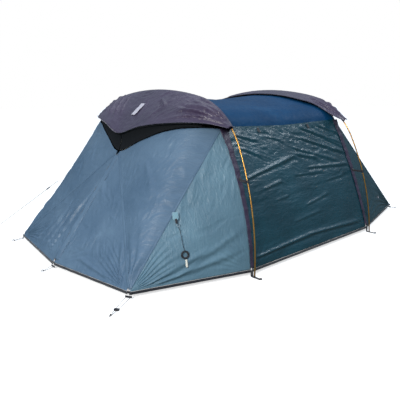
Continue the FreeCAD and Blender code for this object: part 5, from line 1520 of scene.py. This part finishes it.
def settle(piece, spot, over, along, up, material, bevel):
    # rounds the edges, then lays the piece on its own axes at its place
    rounding = piece.modifiers.new("rounding", "BEVEL")
    rounding.width, rounding.segments, rounding.limit_method = bevel, 3, "ANGLE"
    rounding.angle_limit = math.radians(35)
    applyAll(piece)
    turned = Matrix([list(unit(over)), list(unit(along)), list(unit(up))]).transposed().to_4x4()
    piece.data.transform(Matrix.Translation(Vector([float(c) for c in spot])) @ turned)
    piece.data.materials.clear()
    piece.data.materials.append(material)
    selectOnly(piece)
    bpy.ops.object.shade_smooth_by_angle(angle=math.radians(40))
    return piece


guyRunnerShape = {"wide": 0.022, "long": 0.040, "deep": 0.007, "holes": 0.0055}
guyTop, guyFoot = np.array(guyRoute[0]), np.array(guyRoute[1])
guyAlong = unit(guyFoot - guyTop)
guyAcross = unit((-guyAlong[1], guyAlong[0], 0))
guyUp = np.cross(guyAlong, guyAcross)


def makeGuyRunner():
    # flat slider with a waist, a finger hole in the middle and a cord hole along each side
    shape = guyRunnerShape
    runner = startPiece("guyRunner", "cube", size=1.0, scale=(shape["wide"], shape["long"], shape["deep"]))

    def waist(co):
        co.x *= 1 - 0.16 * max(0.0, 1 - (abs(co.y) / (shape["long"] * 0.42)) ** 2)
        co.z *= 1 - 0.18 * (abs(co.y) / (shape["long"] * 0.5)) ** 3

    reshape(runner, 5, waist)
    pickFaces(runner, lambda c, n: abs(n.z) > 0.9 and abs(c.x) < 0.0052 and abs(c.y) < 0.0105)
    bpy.ops.mesh.inset(thickness=0.0009, depth=0.0)
    bpy.ops.mesh.inset(thickness=0.0006, depth=-0.0012)
    endEdit()
    centre = guyTop + guyAlong * (np.linalg.norm(guyFoot - guyTop) * 0.45) - guyAcross * shape["holes"]
    return settle(runner, centre, guyAcross, guyAlong, guyUp, finish["darkPlastic"], 0.0007)


place(makeGuyRunner(), "guy_runner", "dark_plastic", "guy_runner")

lockShape = {"wide": 0.032, "long": 0.018, "deep": 0.009, "fromPeg": 0.066}


def makeCordLock():
    # a squat lock that both strands run through, with a raised thumb button
    (x, y), (outX, outY) = cornerTabs["FrontRight"]
    start = np.array((x, y, 0.020)) + np.array((outX, outY, 0)) * 0.005
    end = np.array((0.9164, -1.8170, 0.0025))
    along = unit(start - end)
    across = unit((-outY, outX, 0))
    up = np.cross(across, along)
    up = up if up[2] > 0 else -up
    shape = lockShape
    lock = startPiece("cordLock", "cube", size=1.0, scale=(shape["wide"], shape["long"], shape["deep"]))

    def swell(co):
        edge = (co.x / (shape["wide"] / 2)) ** 2
        co.z += 0.0010 * (1 - edge) * (1 if co.z > 0 else -0.4)
        co.y *= 1 - 0.10 * edge

    reshape(lock, 4, swell)
    pickFaces(lock, lambda c, n: n.z > 0.7 and abs(c.x) < 0.007 and abs(c.y) < 0.006)
    bpy.ops.mesh.inset(thickness=0.0012, depth=0.0)
    bpy.ops.mesh.extrude_region_move(TRANSFORM_OT_translate={"value": (0, 0, 0.0009)})
    endEdit()
    centre = end + along * shape["fromPeg"]
    return settle(lock, centre, across, along, up, finish["darkPlastic"], 0.0009)


place(makeCordLock(), "cord_lock", "dark_plastic", "cord_lock")

toggleShape = {"radius": 0.0078, "long": 0.050}


def makeToggle(side, name):
    # turned barrel with a grooved waist where the cord is tied on
    high = flipped((0.9098, -1.2400, 0.1940), side)
    low = flipped((0.9176, -1.2417, 0.1510), side)
    along = unit(low - high)
    toggle = startPiece(name, "cylinder", vertices=28, radius=toggleShape["radius"], depth=toggleShape["long"])
    bpy.ops.object.mode_set(mode="EDIT")
    bpy.ops.mesh.select_all(action="DESELECT")
    work = bmesh.from_edit_mesh(toggle.data)
    for edge in work.edges:
        edge.select = abs(edge.verts[0].co.z - edge.verts[1].co.z) > 0.04
    bmesh.update_edit_mesh(toggle.data)
    bpy.ops.mesh.subdivide(number_cuts=14)
    work = bmesh.from_edit_mesh(toggle.data)
    for corner in work.verts:
        t = corner.co.z / (toggleShape["long"] / 2)
        size = 1.0 - 0.10 * t ** 4 - 0.20 * math.exp(-((t + 0.55) / 0.10) ** 2)
        corner.co.x *= size
        corner.co.y *= size
    bmesh.update_edit_mesh(toggle.data)
    endEdit()
    centre = high + along * toggleShape["long"] / 2
    over = unit(np.cross(along, (0, 1, 0)))
    return settle(toggle, centre, over, np.cross(along, over), along, finish["palePlastic"], 0.0012)


for side, label in sides:
    name = label.lower()
    toggle = makeToggle(side, "stormToggle_" + name)
    place(toggle, "storm_guy_" + name, "toggle_plastic", "storm_toggle_" + name)
    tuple(flipped(stormRoute[0], side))
    # lashing round the hank's foot that ties the toggle on
    out = unit(flipped(hank["out"], side))
    down = downhill(out)
    over = np.cross(out, down)
    foot = flipped(hank["centre"], side) + down * hank["radius"]
    ring = [foot + down * (0.0066 * math.cos(a)) + out * (0.0062 * math.sin(a)) + over * (0.0012 * a / math.pi - 0.002)
            for a in np.linspace(0, 4 * math.pi, 44)]
    lashing = ribbon("hankLashing_" + name, np.array(ring), over, 0.0026, 0.0016, finish["webbing"])
    place(lashing, "storm_guy_" + name, "guy_cord")


def makeSlider(name, spot, over, along, up, material, size):
    # zip slider: a shield body with a raised bridge and a long tapered puller below
    wide, long, deep = size
    body = startPiece(name + "Body", "cube", size=1.0, scale=(wide, long, deep))

    def shield(co):
        co.x *= 1 - 0.30 * smooth(co.y / long, 0.0, 0.5)

    def taper(co):
        co.x *= 0.62 + 0.38 * (0.5 - co.y / (long * 2.4))

    reshape(body, 3, shield)
    pickFaces(body, lambda c, n: n.z > 0.9 and abs(c.x) < wide * 0.25 and abs(c.y) < long * 0.3)
    bpy.ops.mesh.inset(thickness=wide * 0.06, depth=0.0)
    bpy.ops.mesh.extrude_region_move(TRANSFORM_OT_translate={"value": (0, 0, deep * 0.45)})
    endEdit()
    settle(body, spot, over, along, up, material, 0.0005)
    puller = startPiece(name + "Puller", "cube", size=1.0, scale=(wide * 0.72, long * 2.4, 0.0016))
    reshape(puller, 4, taper)
    pickFaces(puller, lambda c, n: abs(n.z) > 0.9 and c.y < -long * 0.35 and abs(c.x) < wide * 0.24)
    bpy.ops.mesh.inset(thickness=0.0006, depth=-0.0003)
    endEdit()
    hang = np.asarray(spot, float) - unit(along) * long * 1.75 + unit(up) * 0.0014
    settle(puller, hang, over, along, up, material, 0.0004)
    return joined(name, [body, puller])


leafNormal = onLeaf(1, 0, 0, 1) - onLeaf(1, 0, 0, 0)
leafOver = onLeaf(1, 0, 1, 0) - onLeaf(1, 0, 0, 0)
doorSlider = makeSlider("doorSlider", onLeaf(1, 0.068, 0.0058, 0.0036), leafOver, unit(doorTop - doorFoot),
                        leafNormal, finish["zipMetal"], (0.0098, 0.016, 0.0042))
place(doorSlider, "door_slider", "zip_metal", "door_zip_slider")
print("hard pieces made")

# ---- inner tent: walls, roof, front with its doorway, door, tub floor

inner = {"half": 0.950, "rearHalf": 0.700, "frontY": -0.665, "rearY": 1.615, "tub": 0.090, "eaveHalf": 0.655,
         "eave": 0.930, "crown": 1.130, "roofRear": 0.595, "doorHalf": 0.400, "sill": 0.120, "spring": 0.560}


innerCounts = (56, 40, 44, 40, 56)   # points along each side of the inner tent
innerBendY = 0.785                    # where its side walls start to close in


def innerOutline(height):
    share = height / inner["eave"]
    half = inner["half"] + (inner["eaveHalf"] - inner["half"]) * share
    rearHalf = inner["rearHalf"] + (inner["eaveHalf"] * 0.8 - inner["rearHalf"]) * share
    rear = inner["rearY"] + (inner["roofRear"] - inner["rearY"]) * share
    bend = innerBendY - 0.250 * share
    return np.array([(half, inner["frontY"], height), (half, bend, height), (rearHalf, rear, height),
                     (-rearHalf, rear, height), (-half, bend, height), (-half, inner["frontY"], height)])


def outlineRow(height):
    # points round the outline from the front right corner to the front left, evenly by share of each side
    corners = innerOutline(height)
    parts = [np.linspace(corners[i], corners[i + 1], n, endpoint=False) for i, n in enumerate(innerCounts)]
    return np.concatenate(parts + [corners[-1:]])


def makeInnerBody():
    points = np.array([outlineRow(height) for height in np.linspace(inner["tub"] + 0.004, inner["eave"], 44)])
    run = np.concatenate([[0], np.cumsum(np.linalg.norm(np.diff(points[0], axis=0), axis=1))])
    uv = np.stack(np.broadcast_arrays(run[None], points[..., 2]), -1)
    u, v = uv[..., 0], uv[..., 1]
    relief = puckers(u, v, 84, 0.25, 0.05, 0.005, 171, 0.4) + puckers(u, v, 20, 0.16, 0.03, 0.003, 173, 0.7)
    relief -= 0.014 * 4 * ((v - 0.09) / 0.84) * (1 - (v - 0.09) / 0.84)
    walls = clothSheet("innerWalls", points, uv, relief, lambda p: p - np.array((0, 0.4, 0.4)), finish["innerCloth"])
    place(walls, "tent", "inner_cloth", "inner_walls")
    across = np.linspace(-1, 1, 70)
    stations = ((inner["frontY"] + 0.004, inner["eaveHalf"] - 0.006, inner["crown"]),
                (0.535, inner["eaveHalf"] - 0.006, inner["crown"]),
                (inner["roofRear"] - 0.006, inner["eaveHalf"] * 0.8 - 0.006, inner["crown"] - 0.060))
    rows = []
    for share in np.linspace(0, 1, 64):
        y = stations[0][0] + (stations[2][0] - stations[0][0]) * share
        half, crown = (np.interp(y, [s[0] for s in stations], [s[k] for s in stations]) for k in (1, 2))
        rise = crown - inner["eave"] - 0.005
        radius = (half ** 2 + rise ** 2) / (2 * rise)
        x = across * half
        rows.append(np.stack([x, np.full(len(x), y), crown - radius + np.sqrt(radius ** 2 - x ** 2)], -1))
    points = np.array(rows)
    uv = np.stack([points[..., 0], points[..., 1]], -1)
    relief = puckers(uv[..., 0], uv[..., 1], 85, 0.25, 0.06, 0.004, 175, 0.4)
    relief -= 0.006 * (1 - np.cos(2 * math.pi * (uv[..., 1] + 0.605) / 0.53)) * 0.5
    relief *= 1 - smooth(np.abs(across), 0.9, 1.0)[None] * 0.9
    roof = clothSheet("innerRoof", points, uv, relief, (0, 0, 1), finish["innerCloth"])
    place(roof, "tent", "inner_cloth", "inner_roof")


def doorRing(grow):
    # the doorway's outline, grown outwards, starting at the middle of the sill
    half, low = inner["doorHalf"] + grow, inner["sill"] - grow
    arc = [(half * math.cos(a), inner["spring"] + half * math.sin(a)) for a in np.linspace(0, math.pi, 60)]
    line = [(0, low), (half, low)] + arc + [(-half, low), (0, low)]
    return evenly([(x, 0, z) for x, z in line], 170)[:, (0, 2)]


def ringSheet(name, inside, outside, y, steps, relief):
    # a sheet between two closed outlines, drawn in rays from one to the other
    share = np.linspace(0, 1, steps)[:, None, None]
    flat = inside[None] * (1 - share) + outside[None] * share
    points = np.stack([flat[..., 0], np.full(flat.shape[:2], y), flat[..., 1]], -1)
    return clothSheet(name, points, flat, relief(flat[..., 0], flat[..., 1]), (0, -1, 0), finish["innerCloth"])


def frontWallOutline(inside):
    # the inner front's own edge, met by a ray from the doorway's middle through each inside point
    centre = np.array((0.0, 0.50))
    edge = [(0.0, 0.094), (inner["half"] - 0.034, 0.094), (inner["eaveHalf"] - 0.004, inner["eave"])]
    rise = inner["crown"] - 0.006 - inner["eave"]
    radius = ((inner["eaveHalf"] - 0.004) ** 2 + rise ** 2) / (2 * rise)
    for x in np.linspace(inner["eaveHalf"] - 0.004, -inner["eaveHalf"] + 0.004, 60):
        edge.append((x, inner["crown"] - 0.006 - radius + math.sqrt(radius ** 2 - x ** 2)))
    edge += [(-inner["half"] + 0.034, 0.094), (0.0, 0.094)]
    edge = resampled([(x, 0, z) for x, z in edge], 0.004)[:, (0, 2)]
    angles = np.unwrap(np.arctan2(edge[:, 1] - centre[1], edge[:, 0] - centre[0]))
    wanted = np.unwrap(np.arctan2(inside[:, 1] - centre[1], inside[:, 0] - centre[0]))
    wanted = np.clip(wanted, angles[0], angles[-1])
    return np.stack([np.interp(wanted, angles, edge[:, 0]), np.interp(wanted, angles, edge[:, 1])], -1)


def makeInnerFront():
    y = inner["frontY"]
    inside = doorRing(0.0)
    wall = ringSheet("innerFront", inside, frontWallOutline(inside), y + 0.0008, 40,
                     lambda u, v: (puckers(u, v, 80, 0.22, 0.05, 0.004, 181, 0.4)
                                   * smooth(np.hypot(u, v - 0.5), 0.45, 0.6)))
    place(wall, "tent", "inner_cloth", "inner_front")
    tapeLine = doorRing(0.005)
    path = np.stack([tapeLine[:, 0], np.full(len(tapeLine), y - 0.0014), tapeLine[:, 1]], -1)
    tangent = np.gradient(path, axis=0)
    across = np.cross(tangent, (0, 1, 0))
    tape = ribbon("innerZipTape", path[:-1], across[:-1], 0.009, 0.0010, finish["zipTape"])
    place(tape, "tent", "zip_tape", "inner_zip")
    leafEdgeLine, meshLine = doorRing(-0.0030), doorRing(-0.070)
    leaf = ringSheet("innerDoorBorder", meshLine, leafEdgeLine, y + 0.0006, 10,
                     lambda u, v: puckers(u, v, 30, 0.10, 0.03, 0.0012, 183, 0.5))
    place(leaf, "inner_door", "inner_cloth", "inner_door")
    grid = np.linspace(0.01, 1, 34)[:, None, None]
    centre = np.array((0.0, 0.5))
    flat = centre[None, None] * (1 - grid) + meshLine[None] * grid
    points = np.stack([flat[..., 0], np.full(flat.shape[:2], y + 0.0004), flat[..., 1]], -1)
    relief = puckers(flat[..., 0], flat[..., 1], 70, 0.16, 0.05, 0.003, 185, 0.4)
    relief *= 1 - smooth(grid[..., 0], 0.9, 1.0)
    net = clothSheet("innerDoorNet", points, flat, relief, (0, -1, 0), finish["net"])
    place(net, "inner_door", "mesh", "inner_door_mesh")
    slider = makeSlider("innerSlider", (inner["doorHalf"] + 0.0040, y - 0.0048, inner["spring"] - 0.013),
                        (1, 0, 0), (0, 0, 1), (0, -1, 0), finish["zipMetal"], (0.0085, 0.0120, 0.0040))
    place(slider, "inner_slider", "zip_metal", "inner_zip_slider")


def makeInnerFloor():
    # tub floor: flat on the ground, turned up at its edge
    edge, centre = outlineRow(0.0), np.array((0.0, 0.35, 0.0))
    rows = [centre + (edge - centre) * share for share in np.linspace(0.02, 1, 26)]
    rows += [outlineRow(height) for height in np.linspace(0.004, inner["tub"], 12)]
    points = np.array(rows)
    closing = points[:, :1] + (points[:, -1:] - points[:, :1]) * np.linspace(1, 0, 60)[None, 1:, None]
    points = np.concatenate([points, closing], 1)
    points[..., 2] += 0.0012
    uv = np.stack([points[..., 0], points[..., 1] + points[..., 2]], -1)
    lying = np.clip(1 - points[..., 2] * 60, 0, 1)
    relief = np.abs(puckers(uv[..., 0], uv[..., 1], 30, 0.3, 0.05, 0.0012, 191, 0.6)) * lying
    floor = clothSheet("innerFloor", points, uv, relief, (0, 0, 1), finish["floorCloth"], 0.0010)
    place(floor, "tent", "floor_cloth", "groundsheet")


def makeHangers():
    # short elastic loops with a hook, from the inner roof up to the fly
    pieces = []
    for y in (-0.605, 0.0, 0.455):
        for x in (-0.42, 0.0, 0.42):
            t = (y - tent["frontY"]) / (tent["rearY"] - tent["frontY"])
            shares = np.linspace(0, bodyShares[1], 200)
            fly = bodyPoints(shares, np.full(200, t))
            high = np.interp(abs(x), fly[:, 0], fly[:, 2]) - 0.0025
            rise = inner["crown"] - inner["eave"] - 0.005
            half = inner["eaveHalf"] - 0.006
            radius = (half ** 2 + rise ** 2) / (2 * rise)
            low = inner["crown"] - radius + math.sqrt(radius ** 2 - x ** 2) + 0.001
            run = np.linspace(0, 1, 14)
            for lean in (-1, 1):
                line = np.stack([np.full(14, x), y + lean * 0.006 * np.sin(math.pi * run),
                                 low + (high - low) * run], -1)
                pieces.append(ribbon("hanger", line, (1, 0, 0), 0.0035, 0.0018, finish["elastic"]))
    hangers = joined("innerHangers", pieces)
    place(hangers, "tent", "elastic")
    loop = [(0.0, -0.12 + 0.014 * math.sin(a), 1.1115 - 0.014 * math.cos(a)) for a in np.linspace(0, 2 * math.pi, 30)]
    lantern = ribbon("lanternLoop", np.array(loop), (1, 0, 0), 0.006, 0.0014, finish["webbing"])
    place(lantern, "tent", "elastic")
    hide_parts("inner_hangers")


makeHangers()
makeInnerBody()
makeInnerFront()
makeInnerFloor()
print("inner tent hung")
for body, rows in stitchPlan.items():
    if rows:
        place(stitchRows("stitching_" + body, rows, finish["thread"]), body, "webbing")

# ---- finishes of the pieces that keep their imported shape

keptFinish = {"pole_tubes": "poleAlloy", "pole_ferrules": "bareAlloy", "shock_cords": "elastic",
              "pole_tips": "bareAlloy", "pole_sleeves": "sleeveCloth", "pole_clips": "darkPlastic",
              "eyelets": "platedSteel", "pegs": "pegWire", "front_lip_rod": "darkPlastic",
              "storm_ring_right": "platedSteel", "storm_ring_left": "platedSteel"}
for node, name in keptFinish.items():
    mesh = nodes[node].data
    if not mesh.materials:
        mesh.materials.append(None)
    for slot in nodes[node].material_slots:
        slot.material = finish[name]

# ---- floor

bpy.ops.object.select_all(action="DESELECT")
bpy.ops.mesh.primitive_plane_add(size=60, location=(0, 0, 0))
ground = bpy.context.object
ground.name = "paleFloor"
groundFinish, groundShader = startMaterial("paintedPaleFloor", {"Base Color": grey(0.8), "Roughness": 0.9,
                                                                "Emission Color": grey(1.0)})
# plain white where it is looked at, and dull like turf where it throws light back on the cloth
seen = addNode(groundFinish, "ShaderNodeLightPath").outputs["Is Camera Ray"]
feed(groundFinish, groundShader, Base_Color=ramp(groundFinish, seen, [(0.0, "#5A6460"), (1.0, 0.8)]),
     Emission_Strength=ramp(groundFinish, seen, [(0.0, 0.0), (1.0, 0.62)]))
ground.data.materials.append(groundFinish)
print("floor laid")
